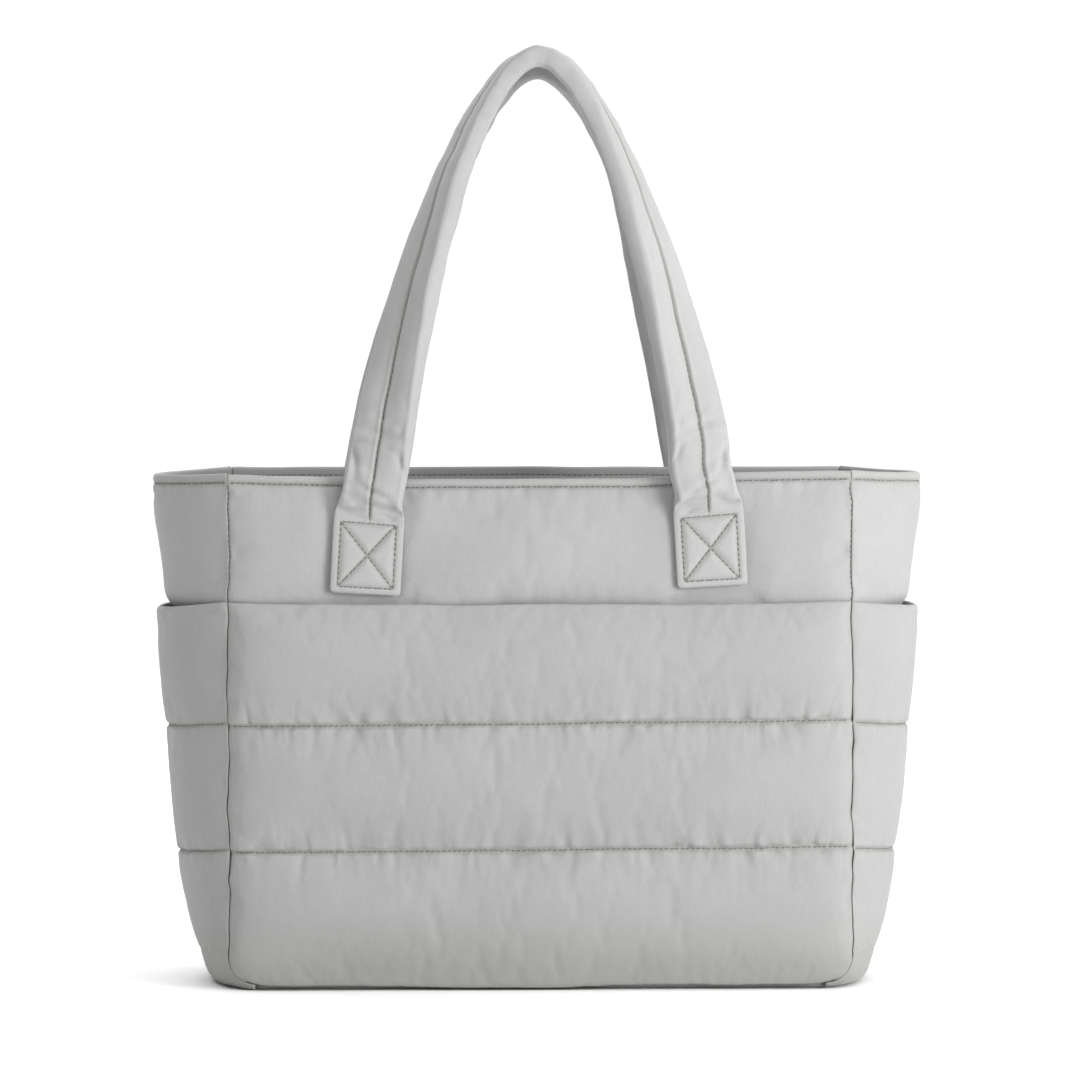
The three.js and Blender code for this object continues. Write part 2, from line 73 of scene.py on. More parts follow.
# %% Sizes of the bag
HALF_WIDTH, BAG_HEIGHT = 176.0, 291.0
BASE_DEPTH, RIM_DEPTH = 126.0, 106.0
CORNER_RADIUS, BASE_WALL, WALL = 15.0, 4.0, 4.0
CORNER_X, CORNER_Z = HALF_WIDTH - CORNER_RADIUS, CORNER_RADIUS + BASE_WALL
CLEARANCE = 0.4
EDGE_GAP = CLEARANCE / 2
PANEL_FOOT = CORNER_Z - CORNER_RADIUS + EDGE_GAP
POCKET_HEIGHT, POCKET_WALL, MOUTH_WALL, POCKET_ROOM = 218.5, 3.0, 2.5, 8.0
HEM_WALL, HEM = 3.0, 4.6
QUILT_LINES = [0.364 * POCKET_HEIGHT, 0.69 * POCKET_HEIGHT]
RIM_FLARE, SIDE_FLARE, SIDE_ROOM, SIDE_SAG = 43.0, 41.5, 6.6, 4.5
HANDLE_SEAT = 98.0
print("stitch rows at", [round(z, 1) for z in QUILT_LINES], "mm above the floor")

# %% [markdown]
# Smooth curves through a few measured rows give the slopes of the sides, and smooth random ripples
# give the cloth its small accidents. Both are plain formulas on whole arrays, so the same numbers
# come out on every run.


# %% Curves and ripples
def ease(t):
    """0 below 0, 1 above 1, and 3t^2 - 2t^3 between."""
    t = np.clip(t, 0, 1)
    return t * t * (3 - 2 * t)


def blend(a, b, t):
    """a at t 0, b at t 1, straight between."""
    return a + (b - a) * t


def through(keys, values, at):
    """A smooth curve through rows of (key, value): a cubic whose slope at a row is the straight
    slope between that row's neighbours. Values may be numbers or whole rows of numbers."""
    keys, values = np.asarray(keys, float), np.asarray(values, float)
    last = len(keys) - 1
    at = np.clip(np.asarray(at, float), keys[0], keys[-1])
    i = np.clip(np.searchsorted(keys, at, side="right") - 1, 0, last - 1)
    k = np.arange(last + 1)
    lower, upper = np.maximum(k - 1, 0), np.minimum(k + 1, last)
    wide = (...,) + (None,) * (values.ndim - 1)
    slope = (values[upper] - values[lower]) / (keys[upper] - keys[lower])[wide]
    span = (keys[i + 1] - keys[i])[wide]
    t = (at - keys[i])[wide] / span
    rest = 1 - t
    start = (1 + 2 * t) * rest**2 * values[i] + t * rest**2 * span * slope[i]
    return start + t * t * (3 - 2 * t) * values[i + 1] - t * t * rest * span * slope[i + 1]


def ripples(x, y, size, seed):
    """Random heights from -1 to 1 on a lattice with cells of size mm, eased between its corners."""
    table = np.random.default_rng(seed).uniform(-1, 1, (96, 96))
    wide, tall = np.broadcast_to(size, 2)
    u, v = np.broadcast_arrays(np.asarray(x, float) / wide, np.asarray(y, float) / tall)
    i, j = np.floor(u).astype(int), np.floor(v).astype(int)
    a, b = ease(u - i), ease(v - j)
    low = blend(table[i % 96, j % 96], table[(i + 1) % 96, j % 96], a)
    high = blend(table[i % 96, (j + 1) % 96], table[(i + 1) % 96, (j + 1) % 96], a)
    return blend(low, high, b)


def puckers(along, away, seed, reach=10.0):
    """Little gathers beside a stitch row: ripples along it that fan out and fade with exp(-d/reach)."""
    fan = along + 0.25 * away * ripples(along, 0 * away, 23, seed + 1)
    fine = 0.65 * ripples(fan, away, (4.6, 14), seed) + 0.7 * ripples(fan, away, (9.5, 22), seed + 2)
    fine = fine + 0.8 * creases(fan, away, (8, 40), seed + 3)
    return fine * np.exp(-np.abs(away) / reach)


def creases(x, y, size, seed):
    """Narrow valleys, -1 deep, where random ripples cross zero: -exp(-(r / 0.16)^2)."""
    return -near_line(ripples(x, y, size, seed), 0.16)


def near_line(distance, width):
    """1 on a line and fading beside it: exp(-(d / width)^2)."""
    return np.exp(-((distance / width) ** 2))


def pillow(share):
    """Height of a filled channel between two stitch rows: (1 - |2s - 1|^2.4)^0.62."""
    return (1 - np.abs(2 * np.clip(share, 0, 1) - 1) ** 2.4) ** 0.62


def graded(lines, counts, crowd=0.72):
    """Places from line to line, crowded near each: t - crowd sin(2 pi t) / 2 pi in every gap."""
    parts = [np.array([lines[0]])]
    for low, high, count in zip(lines[:-1], lines[1:], counts):
        t = np.linspace(0, 1, count + 1)[1:]
        parts.append(blend(low, high, t - crowd * np.sin(2 * np.pi * t) / (2 * np.pi)))
    return np.concatenate(parts)


def crowded(count, crowd=0.4):
    """Places from -1 to 1 that stand closer together near both ends."""
    t = np.linspace(-1, 1, count)
    return (1 - crowd) * t + crowd * np.sin(t * np.pi / 2)


print("a pillow's height at its quarter:", round(float(pillow(0.25)), 2))

# %% [markdown]
# The bag's own curves: how deep it is at a height, how wide the front and back are, how the rim
# dips between the handles, and how far pockets and side walls stand out.


# %% Curves of the bag
def half_depth(z):
    """Half the depth at the seams, straight from the base's 63 mm to the rim's 53 mm."""
    return blend(BASE_DEPTH, RIM_DEPTH, np.clip((z - CORNER_Z) / (BAG_HEIGHT - CORNER_Z), 0, 1)) / 2


def half_panel(z):
    """Half the width of the front, with a quarter circle at each lower corner."""
    radius = CORNER_RADIUS - EDGE_GAP
    below = np.clip(CORNER_Z - z, 0, radius)
    return CORNER_X + np.sqrt(radius**2 - below**2)


def front_rim(across):
    """Rise of the front rim in mm: it dips a little left of the middle and is highest at the right."""
    return 3.0 * through([-1, -0.55, -0.1, 0.35, 0.65, 1], [0, -0.8, -1, -0.75, 0.2, 0.5], across)


def rim_share(z):
    """How much of the rim's rise is felt at a height: none at the pocket's mouth."""
    return ease((z - POCKET_HEIGHT) / (BAG_HEIGHT - POCKET_HEIGHT))


def side_fall(share):
    """1 over most of a panel and 0 at its side seams: (1 - |s|^14)^0.6."""
    return (1 - np.abs(share) ** 14) ** 0.6


def pocket_room(share, z):
    """How far the front pocket stands off the panel: nothing at its seams, 8 mm at the mouth."""
    rise = np.clip((z - PANEL_FOOT) / (POCKET_HEIGHT - PANEL_FOOT), 0, 1)
    return POCKET_ROOM * rise**0.3 * (1 - np.abs(share) ** 12) ** 0.7


SIDE_ROWS = [0, 0.05, 0.14, 0.27, 0.4, 0.52, 0.65, 0.86, 0.94, 1]
SIDE_OUT = [0.41, 0.468, 0.556, 0.665, 0.732, 0.787, 0.842, 0.932, 0.97, 1]
SIDE_SPACE = [0.25, 0.45, 0.85, 1.45, 1.65, 1.75, 1.75, 1.6, 1.3, 1]


def pocket_flare(z):
    """How far a side pocket's face stands out past the side seam at a height."""
    return SIDE_FLARE * through(SIDE_ROWS, SIDE_OUT, (z - CORNER_Z) / (POCKET_HEIGHT - CORNER_Z))


def gusset_flare(z):
    """The same for the side wall: behind its pocket up to the mouth, then out to the rim."""
    share = (np.minimum(z, POCKET_HEIGHT) - CORNER_Z) / (POCKET_HEIGHT - CORNER_Z)
    wall = np.where(z < POCKET_HEIGHT, POCKET_WALL, MOUTH_WALL)
    low = pocket_flare(np.minimum(z, POCKET_HEIGHT)) - wall - CLEARANCE
    low = low - SIDE_ROOM * through(SIDE_ROWS, SIDE_SPACE, share)
    mouth = (SIDE_FLARE - MOUTH_WALL - CLEARANCE - SIDE_ROOM) / RIM_FLARE
    above = (z - POCKET_HEIGHT) / (BAG_HEIGHT - POCKET_HEIGHT)
    high = through([0, 0.08, 0.27, 0.5, 0.7, 1], [mouth, 0.828, 0.866, 0.918, 0.972, 1], above)
    return np.where(z > POCKET_HEIGHT, RIM_FLARE * high, low)


def seam_wave(z, side, face):
    """How far a side seam wanders along its height, in mm: it is the same for both neighbours."""
    slow = [ripples(z, 0 * z, (17, 9), 900 + 10 * word + face) for word in (0, 1)]
    fast = [ripples(z, 0 * z, (7, 9), 940 + 10 * word + face) for word in (0, 1)]
    return 0.75 * np.where(side > 0, slow[1], slow[0]) + 0.5 * np.where(side > 0, fast[1], fast[0])


def beside_seam(distance):
    """How much of that a point feels that lies so many mm from the seam."""
    return np.exp(-np.clip(distance, 0, None) / 7)


def foot_shade(z):
    """Painted shade near the floor: 1 at the very foot and gone 55 mm up."""
    return (1 - np.clip(z / 55, 0, 1)) ** 1.6


print("side wall at the rim:", round(float(HALF_WIDTH + gusset_flare(BAG_HEIGHT)), 1), "mm from the middle")

# %% [markdown]
# Every wall of the bag is padded cloth with two faces. It could be one sheet with a Solidify
# modifier, but then its edges would be square. Here the outer face and the inner face are two grids
# of points, and their edges are rolled round into each other like a folded hem.


# %% Walls from two grids
def normals(grid):
    """Unit normals of a grid: the way along its columns crossed with the way along its rows."""
    cross = np.cross(np.gradient(grid, axis=1), np.gradient(grid, axis=0))
    return cross / np.maximum(np.linalg.norm(cross, axis=-1, keepdims=True), 1e-9)


def rolled(outer, inner, axis, end, way=None, reach=1.0):
    """Adds four rows past an edge that roll over it: the middle of the two faces, plus half of
    their distance turned through a quarter circle towards the way that the edge points. A reach
    below 1 squashes the roll, for edges that are sewn against a neighbour."""
    outer, inner = np.moveaxis(outer, axis, 0), np.moveaxis(inner, axis, 0)
    near = 1 if end == 0 else -2
    middle, half = (outer[end] + inner[end]) / 2, (outer[end] - inner[end]) / 2
    if way is None:
        way = (outer[end] - outer[near]) + (inner[end] - inner[near])
    way = np.broadcast_to(way, middle.shape)
    way = way / np.maximum(np.linalg.norm(way, axis=-1, keepdims=True), 1e-9)
    way = way * np.linalg.norm(half, axis=-1, keepdims=True) * reach
    turn = np.radians([22.5, 45, 67.5, 86])[:, None, None]
    over = middle + half * np.cos(turn) + way * np.sin(turn)
    under = middle - half * np.cos(turn) + way * np.sin(turn)

    def join(face, fold):
        """The fold's rows before the face's first row, or after its last one."""
        return np.concatenate([fold[::-1], face] if end == 0 else [face, fold])

    return np.moveaxis(join(outer, over), 0, axis), np.moveaxis(join(inner, under), 0, axis)


def wall_faces(rows, columns):
    """Corners of the faces of a closed wall: outer grid, inner grid turned over, and four rims."""
    out = np.arange(rows * columns).reshape(rows, columns)
    back = out + rows * columns

    def quads(a, b, c, d):
        """Rows of four corners, from four arrays of corners."""
        return np.stack([a, b, c, d], -1).reshape(-1, 4)

    return np.concatenate([
        quads(out[:-1, :-1], out[:-1, 1:], out[1:, 1:], out[1:, :-1]),
        quads(back[:-1, :-1], back[1:, :-1], back[1:, 1:], back[:-1, 1:]),
        quads(out[0, 1:], out[0, :-1], back[0, :-1], back[0, 1:]),
        quads(out[-1, :-1], out[-1, 1:], back[-1, 1:], back[-1, :-1]),
        quads(out[:-1, 0], out[1:, 0], back[1:, 0], back[:-1, 0]),
        quads(out[1:, -1], out[:-1, -1], back[:-1, -1], back[1:, -1]),
    ])


print("a wall of 3 rows and 4 columns has", len(wall_faces(3, 4)), "faces")

# %% [markdown]
# A mesh is made straight from the arrays. Its UV map holds the cloth's own lengths, so that a weave
# keeps its size round every bulge, and an attribute says how much painted shade each point takes.
# A wall's edges are rolled before it is made: fully at a free edge, and only a little where it is
# sewn to a neighbour.


# %% From grids to pieces
SEWN_ROLL = 0.2


def cloth_lengths(grid):
    """Lengths along a grid's middle row and middle column, the cloth's own two directions."""
    rows, columns = grid.shape[:2]
    along = np.linalg.norm(np.diff(grid[rows // 2], axis=0), axis=-1)
    up = np.linalg.norm(np.diff(grid[:, columns // 2], axis=0), axis=-1)
    u, v = np.r_[0, np.cumsum(along)], np.r_[0, np.cumsum(up)]
    return np.stack(np.broadcast_arrays(u[None, :], v[:, None]), -1)


def mesh_piece(name, points, faces, uv=None, painted_shade=None):
    """A smooth mesh object from points in mm. uv is the cloth's own length and height in mm, and
    the last argument, painted shade from 0 to 1, is stored as an attribute for the material."""
    mesh = bpy.data.meshes.new(name)
    mesh.from_pydata((points.reshape(-1, 3) * MM).tolist(), [], faces.tolist())
    mesh.polygons.foreach_set("use_smooth", np.ones(len(faces), bool))
    corners = np.zeros(len(mesh.loops), np.int32)
    mesh.loops.foreach_get("vertex_index", corners)
    if uv is not None:
        layer = mesh.uv_layers.new(name="cloth")
        layer.uv.foreach_set("vector", (uv.reshape(-1, 2)[corners] * MM).astype(np.float32).ravel())
    if painted_shade is not None:
        attribute = mesh.attributes.new("painted_shade", "FLOAT", "POINT")
        attribute.data.foreach_set("value", np.asarray(painted_shade, np.float32).ravel())
    mesh.validate()
    mesh.update()
    piece = bpy.data.objects.new(name, mesh)
    bpy.context.scene.collection.objects.link(piece)
    return piece


def describe(piece, uv):
    """Prints how many faces a piece has, and the flat size of its outer cloth."""
    wide, high = uv[-1, -1]
    count = len(piece.data.polygons)
    print(piece.name, "has", count, "faces; its cloth lies flat at", round(wide), "by", round(high), "mm")


def wall_piece(name, outer, inner, painted_shade, ways=(None,) * 4, ends=(1, 1, SEWN_ROLL, SEWN_ROLL)):
    """A closed wall with its lower, upper, first and last edges rolled over as far as ends asks."""
    edges = [(0, 0), (0, -1), (1, 0), (1, -1)]
    for (axis, end), way, reach in zip(edges, ways, ends):
        if reach:
            outer, inner = rolled(outer, inner, axis, end, way, reach)
            pad = [(0, 0), (0, 0)]
            pad[axis] = (4, 0) if end == 0 else (0, 4)
            painted_shade = np.pad(painted_shade, pad, mode="edge")
    uv = cloth_lengths(outer)
    piece = mesh_piece(
        name,
        np.concatenate([outer.reshape(-1, 3), inner.reshape(-1, 3)]),
        wall_faces(*outer.shape[:2]),
        np.concatenate([uv.reshape(-1, 2)] * 2),
        np.concatenate([painted_shade.ravel()] * 2),
    )
    describe(piece, uv)
    return piece


print("a sewn edge is rolled by", SEWN_ROLL, "of a free edge's roll")

# %% [markdown]
# A quilted channel is cloth that is a little too long for the gap between its stitch rows, held out
# by filling. That is what the simulation does here: the sheet is pinned along its seams and stitch
# rows, its cloth grows by a few parts in a thousand, and air pressure from inside pushes it out. The
# spare cloth gathers beside the stitches by itself, which painted noise never does as well. How far
# a point may move is capped, and the movement is then read onto the finished piece's finer grid.


# %% Blow up a pinned sheet
SHAKE, START_SHARE = 0.04, 0.75


def blown_up(start, pinned, grow, cap, seed, pressure=4.0, frames=20):
    """The movement in mm of each point of a grid after a cloth simulation with pressure inside.
    grow is the share by which the cloth gets longer, and no point moves further than cap."""
    rows, columns = start.shape[:2]
    out = np.arange(rows * columns).reshape(rows, columns)
    faces = np.stack([out[:-1, :-1], out[:-1, 1:], out[1:, 1:], out[1:, :-1]], -1).reshape(-1, 4)
    shake = np.random.default_rng(seed).normal(0, SHAKE, (rows, columns, 1)) * (1 - pinned[..., None])
    sheet = mesh_piece("sheet", start + normals(start) * shake, faces)
    held = sheet.vertex_groups.new(name="held")
    held.add(np.nonzero(pinned.ravel() > 0)[0].tolist(), 1.0, "REPLACE")
    cloth = sheet.modifiers.new("Cloth", "CLOTH")
    cloth.settings.quality = 5
    cloth.settings.vertex_group_mass = "held"
    cloth.settings.shrink_min = -grow
    cloth.settings.use_pressure = True
    cloth.settings.uniform_pressure_force = pressure
    cloth.settings.effector_weights.gravity = 0
    cloth.collision_settings.use_collision = False
    for step in range(1, frames + 1):
        bpy.context.scene.frame_set(step)
    shaped = sheet.evaluated_get(bpy.context.evaluated_depsgraph_get())
    places = np.zeros(rows * columns * 3, np.float32)
    shaped.data.vertices.foreach_get("co", places)
    move = places.reshape(start.shape) / MM - start
    bpy.context.scene.frame_set(1)
    bpy.data.objects.remove(sheet)
    far = np.linalg.norm(move, axis=-1, keepdims=True)
    return move * np.minimum(1, cap / np.maximum(far, 1e-6))


def settled(sewn, fine, height, pinned, keys, fine_keys, **how):
    """The fine grid, moved as the sewn one moves: out along its normals by three quarters of the
    filling's height, and then by the simulation. keys are the rows' and columns' places."""
    start = sewn + normals(sewn) * height[..., None] * START_SHARE
    move = start - sewn + blown_up(start, pinned.astype(float), **how)
    by_row, by_column = (through(old, np.eye(len(old)), new) for old, new in zip(keys, fine_keys))
    moved = np.einsum("ir,rck,jc->ijk", by_row, move, by_column)
    print("puffed out by up to", round(float(np.linalg.norm(moved, axis=-1).max()), 1), "mm")
    return fine + moved


def puffed(surface, rows, columns, fine_rows, fine_columns, puff, pinned, **how):
    """A sheet's fine grid after the simulation. surface(columns, rows) gives the sewn-down sheet,
    puff(columns, rows) the height in mm that the filling gives it, and pinned its held points."""
    across, up = np.meshgrid(columns, rows)
    fine_across, fine_up = np.meshgrid(fine_columns, fine_rows)
    fine = surface(fine_across, fine_up)
    return settled(surface(across, up), fine, puff(across, up), pinned(across, up), (rows, columns),
                   (fine_rows, fine_columns), **how)


print("a sheet starts at", START_SHARE, "of its filling's height")

# %% [markdown]
# The front pocket is the face of the bag: one wide slip pocket in three channels, sewn in at both
# side seams and along the base, with a plain folded mouth. Its stitch rows climb slightly to the
# right, as sewn rows do.

# %% Front pocket
FOLD = POCKET_WALL / 2
SEWN_FOLD = 0.2
POCKET_LINES = [PANEL_FOOT + FOLD, *QUILT_LINES, POCKET_HEIGHT - MOUTH_WALL / 2]


def row_tilt(share, z):
    """How much higher a stitch row runs at a place: up to the right, with a slow wobble."""
    felt = np.interp(z, [0, *QUILT_LINES, POCKET_HEIGHT], [0, 1.3, 1.5, 0.5])
    return felt * (share + 0.22 * ripples(share * HALF_WIDTH, z, (38, 400), 11))


def pocket_sheet(share, z):
    """The pocket's outer face as sewn: x across, y off the panel by the pocket's room, z up."""
    y = half_depth(z) + CLEARANCE + pocket_room(share, z) + POCKET_WALL
    y = y - 3.0 * ease((z - POCKET_HEIGHT + 13) / 13) * (1 - np.abs(share) ** 12)
    top = ease((z - QUILT_LINES[1]) / (POCKET_HEIGHT - QUILT_LINES[1]))
    sag = -1.0 * (1 - share**2) * top + 0.7 * ripples(share * HALF_WIDTH, z, (34, 400), 13) * top
    x = share * (half_panel(z) - SEWN_FOLD)
    x = x + np.sign(share) * seam_wave(z, share, -1) * beside_seam((1 - np.abs(share)) * HALF_WIDTH)
    return np.stack([x, -y, z + row_tilt(share, z) + sag], -1)


def channel_puff(lines, heights, share, z):
    """The pillow of the channel that a height lies in, times that channel's height."""
    k = np.clip(np.searchsorted(lines, z, side="right") - 1, 0, len(lines) - 2)
    low, high = np.asarray(lines)[k], np.asarray(lines)[k + 1]
    return np.asarray(heights)[k] * pillow((z - low) / (high - low)) * side_fall(share)


def pocket_puff(share, z):
    """5 mm of filling, and 4.4 mm in the channel under the mouth."""
    return channel_puff(POCKET_LINES, [5.0, 5.0, 4.4], share, z)


def pocket_held(share, z):
    """The pocket is held at its side seams and on every stitch row."""
    rows = np.isin(np.round(z, 6), np.round(POCKET_LINES, 6))
    return rows | (np.abs(share) > 0.999)


coarse_rows, coarse_columns = graded(POCKET_LINES, [22, 22, 22]), crowded(132, 0.25)
pocket_rows, pocket_columns = graded(POCKET_LINES, [36, 36, 36]), crowded(231, 0.3)
pocket = puffed(pocket_sheet, coarse_rows, coarse_columns, pocket_rows, pocket_columns,
                pocket_puff, pocket_held, grow=0.003, cap=7.0, seed=5)

# %% [markdown]
# After the simulation come the marks of sewing that are finer than its grid: the thread pulls each
# stitch row in by a millimetre, little gathers fan out from it, the lowest channel rolls down over
# its seam with the base, and the whole cloth has slow, shallow creases from being carried.


# %% Sewing marks on the pocket
def row_marks(share, z, lines, seed, width=2 * HALF_WIDTH, depth=0.9, gather=0.55):
    """Relief in mm beside stitch rows: minus depth on each row, and gathers above and below it."""
    x = share * width / 2
    relief = np.zeros(np.broadcast(share, z).shape)
    for k, line in enumerate(lines):
        away = z - line
        relief -= depth * near_line(away, 1.3)
        for part, sign in enumerate((-1, 1)):
            beside = np.clip(sign * away, 0, None)
            start = ease(beside / 1.5) * (sign * away >= 0)
            relief += gather * start * puckers(x, beside, seed + 20 * k + 7 * part)
    return relief


def carried(x, z, seed, height=0.5):
    """Slow creases: two sets of ripples on slanted axes, long one way and short the other."""
    slant, cross = 0.8 * x + 0.6 * z, 0.8 * z - 0.6 * x
    broad = ripples(slant, cross, (95, 34), seed)
    patchy = 0.4 + 0.6 * ripples(x, z, 60, seed + 2)
    fine = ripples(slant + 30, cross, (40, 13), seed + 1) + creases(slant, cross, (75, 24), seed + 3)
    return height * (broad + 0.5 * fine * patchy)


across, up = np.meshgrid(pocket_columns, pocket_rows)
relief = row_marks(across, up, QUILT_LINES, 31, gather=1.4)
relief += carried(across * HALF_WIDTH, up, 41, 1.1) * side_fall(across)
seam_side = (1 - np.abs(across)) * HALF_WIDTH
relief += 0.8 * puckers(up, seam_side, 51, 8) * ease(seam_side / 2)
pocket = pocket + normals(pocket) * relief[..., None]
low = 1 - np.clip((up - PANEL_FOOT) / 7, 0, 1)
pocket[..., 2] -= 3.4 * low * (1 - np.abs(across) ** 24)
pocket_back = pocket_sheet(across, up)
pocket_back[..., 1] += POCKET_WALL
# Painted shade: darker along the stitch rows, beside the side seams and near the floor.
painted_shade = np.maximum.reduce([near_line(up - line, 1.4) for line in QUILT_LINES]
                         + [0.35 * near_line(seam_side, 1.5), foot_shade(up)])
front_pocket = wall_piece("front_pocket_cloth", pocket, pocket_back, painted_shade)

# %% [markdown]
# Behind the pocket stands the front panel. Only its upper part shows: a shallow puffed field under
# a narrow hem. Where the handles are sewn on, the padding is pressed flat. The back panel is the
# same sheet without a pocket, so its channels run all the way up.

# %% Front and back panels
HEM_LINE = BAG_HEIGHT - HEM
PANEL_FOLD = HEM_WALL / 2


def panel_sheet(side):
    """A panel's outer face as sewn, on the front (side -1) or the back (side 1)."""

    def sheet(share, z):
        """x across, y half the bag's depth, z up with the rim's rise. The thinner hem reaches
        0.1 mm further out, so that its side seams stay shut."""
        rise = front_rim(share) * rim_share(z) if side < 0 else 0
        rise = rise + 0.35 * ripples(share * HALF_WIDTH, z, (26, 400), 83 + side) * rim_share(z)
        x = share * (half_panel(z) - SEWN_FOLD + 0.1 * ease((z - HEM_LINE + 4) / 5))
        wave = seam_wave(z, -side * share, side) * beside_seam((1 - np.abs(share)) * HALF_WIDTH)
        x = x + np.sign(share) * wave
        x = -side * x
        return np.stack([x, side * half_depth(z) + 0 * share, z + rise + 0 * share], -1)

    return sheet


SEAT_REACH, SEAT_LOW, SEAT_HIGH, SEAT_PUFF = 20, 222, 268, 0.34


def pressed(share):
    """How much puff is left across a panel: a third under a handle's end, all of it clear of it."""
    away = np.abs(np.abs(share) * HALF_WIDTH - HANDLE_SEAT) - SEAT_REACH - 2
    return blend(SEAT_PUFF, 1, ease(away / 12))


def panel_held(lines):
    """Held at the seams, on the stitch rows, along the hem and under the handles' ends."""

    def held(share, z):
        """True where a point is held, from the stitch rows and the seats of the handles."""
        rows = np.isin(np.round(z, 6), np.round(lines, 6)) | (z >= lines[-2])
        seat = np.abs(np.abs(share) * HALF_WIDTH - HANDLE_SEAT) < SEAT_REACH
        return rows | seat & (z > SEAT_LOW) & (z < SEAT_HIGH) | (np.abs(share) > 0.999)

    return held


def panel_puff(lines, heights):
    """The filling of a panel's channels, pressed down under the handles' ends."""

    def puff(share, z):
        """Height in mm of the filling at a place."""
        seat = np.where(z > POCKET_HEIGHT, pressed(share), 1)
        return channel_puff(lines, heights, share, z) * seat

    return puff


TOP = BAG_HEIGHT - PANEL_FOLD
front_lines = [POCKET_HEIGHT - 12, HEM_LINE, TOP]
front_rows = graded(front_lines, [26, 3])
front_columns = crowded(120, 0.25)
front_fine_rows, front_fine_columns = graded(front_lines, [52, 7]), crowded(221, 0.3)
front = puffed(panel_sheet(-1), front_rows, front_columns, front_fine_rows, front_fine_columns,
               panel_puff(front_lines, [3.9, 0.3]), panel_held(front_lines), grow=0.0025, cap=5, seed=6)

back_lines = [PANEL_FOOT + PANEL_FOLD, *QUILT_LINES, POCKET_HEIGHT, HEM_LINE, TOP]
back_rows, back_columns = graded(back_lines, [14, 14, 14, 15, 2]), crowded(110, 0.25)
back_fine_rows = graded(back_lines, [28, 28, 28, 28, 6])
back_fine_columns = crowded(181, 0.3)
back = puffed(panel_sheet(1), back_rows, back_columns, back_fine_rows, back_fine_columns,
              panel_puff(back_lines, [4.0, 4.0, 4.0, 3.9, 0.3]), panel_held(back_lines),
              grow=0.006, cap=5, seed=7)


# %% [markdown]
# The panels get the same marks as the pocket, and the topstitch of the hem as well. Long creases run
# slantwise over the upper part, as they do on a bag that has hung from its handles, and none of them
# crosses the hem. Rows below the simulated part are added last, since the pocket hides them.


# %% Sewing marks on the panels
def hem_marks(share, z, seed):
    """The hem's topstitch pulls in 0.7 mm, and gathers hang below it."""
    below = np.clip(HEM_LINE - z, 0, None)
    relief = -0.7 * near_line(z - HEM_LINE, 1.1)
    return relief + 0.8 * ease(below / 1.5) * puckers(share * HALF_WIDTH, below, seed, 7)


def panel_marks(columns, rows, lines, seed):
    """Relief of a panel and its painted shade, from its hem, stitch rows, side seams and foot."""
    share, z = np.meshgrid(columns, rows)
    x = share * HALF_WIDTH
    seam = (1 - np.abs(share)) * HALF_WIDTH
    relief = hem_marks(share, z, seed) + row_marks(share, z, lines, seed + 5, gather=1.0)
    calm = pressed(share) * side_fall(share)
    relief += carried(x, z, seed + 60, 2.0) * calm * ease((HEM_LINE - z) / 7)
    relief += 0.9 * puckers(z, seam, seed + 70, 13) * ease(seam / 4)
    # Painted shade along the stitch rows, the hem, the side seams and the foot.
    lines_near = [near_line(z - line, 1.4) for line in [*lines, HEM_LINE]]
    return relief, np.maximum.reduce(lines_near + [0.35 * near_line(seam, 1.8), foot_shade(z)])


def panel_wall(name, side, grid, columns, rows, lines, seed, below=()):
    """A panel's wall: its marks are added to the grid, and rows below it go down to the base."""
    relief, painted_shade = panel_marks(columns, rows, lines, seed)
    grid = grid + normals(grid) * relief[..., None]
    if len(below):
        share, z = np.meshgrid(columns, below)
        grid = np.concatenate([panel_sheet(side)(share, z), grid])
        painted_shade = np.concatenate([0 * share, painted_shade])
        rows = np.concatenate([below, rows])
    share, z = np.meshgrid(columns, rows)
    inner = panel_sheet(side)(share, z)
    thick = blend(WALL, HEM_WALL, ease((z - HEM_LINE + 4) / 5))
    inner[..., 1] -= side * thick
    return grid, inner, wall_piece(name, grid, inner, painted_shade)


front_grid, front_inside, front_panel = panel_wall(
    "front_panel_cloth", -1, front, front_fine_columns, front_fine_rows, [], 71,
    below=np.linspace(PANEL_FOOT + PANEL_FOLD, POCKET_HEIGHT - 14, 16))
back_grid, back_inside, back_panel = panel_wall(
    "back_panel_cloth", 1, back, back_fine_columns, back_fine_rows, [*QUILT_LINES, POCKET_HEIGHT], 171)

# %% [markdown]
# A side wall, which a bag maker calls a gusset, is one strip: it hangs from the rim, turns under the
# lower corner and meets the base. Its section across the bag's depth is an arc, |a|^2 below its
# crown, and it goes flat under the bag. The side pocket is a second strip over it.


# %% Strips down the sides
UNDER_ROWS, HALF_STRIP, GUSSET_ARC, SIDE_POCKET_ARC = 14, 60, 2.0, 2.3


def strip_stations(heights):
    """Stations from under the bag up the side: how far each is turned (1 is straight down), its
    height, and the place of the side seam with the way out from it."""
    turn = np.concatenate([np.linspace(1, 0, UNDER_ROWS + 1)[:-1], np.zeros(len(heights))])
    z = np.concatenate([np.zeros(UNDER_ROWS), heights])
    angle = turn * np.pi / 2
    out = np.stack([np.cos(angle), 0 * angle, -np.sin(angle)], -1)
    centre = np.stack([0 * z + CORNER_X, 0 * z, np.where(turn > 0, CORNER_Z, z)], -1)
    return turn, z, centre + out * (CORNER_RADIUS + EDGE_GAP), out


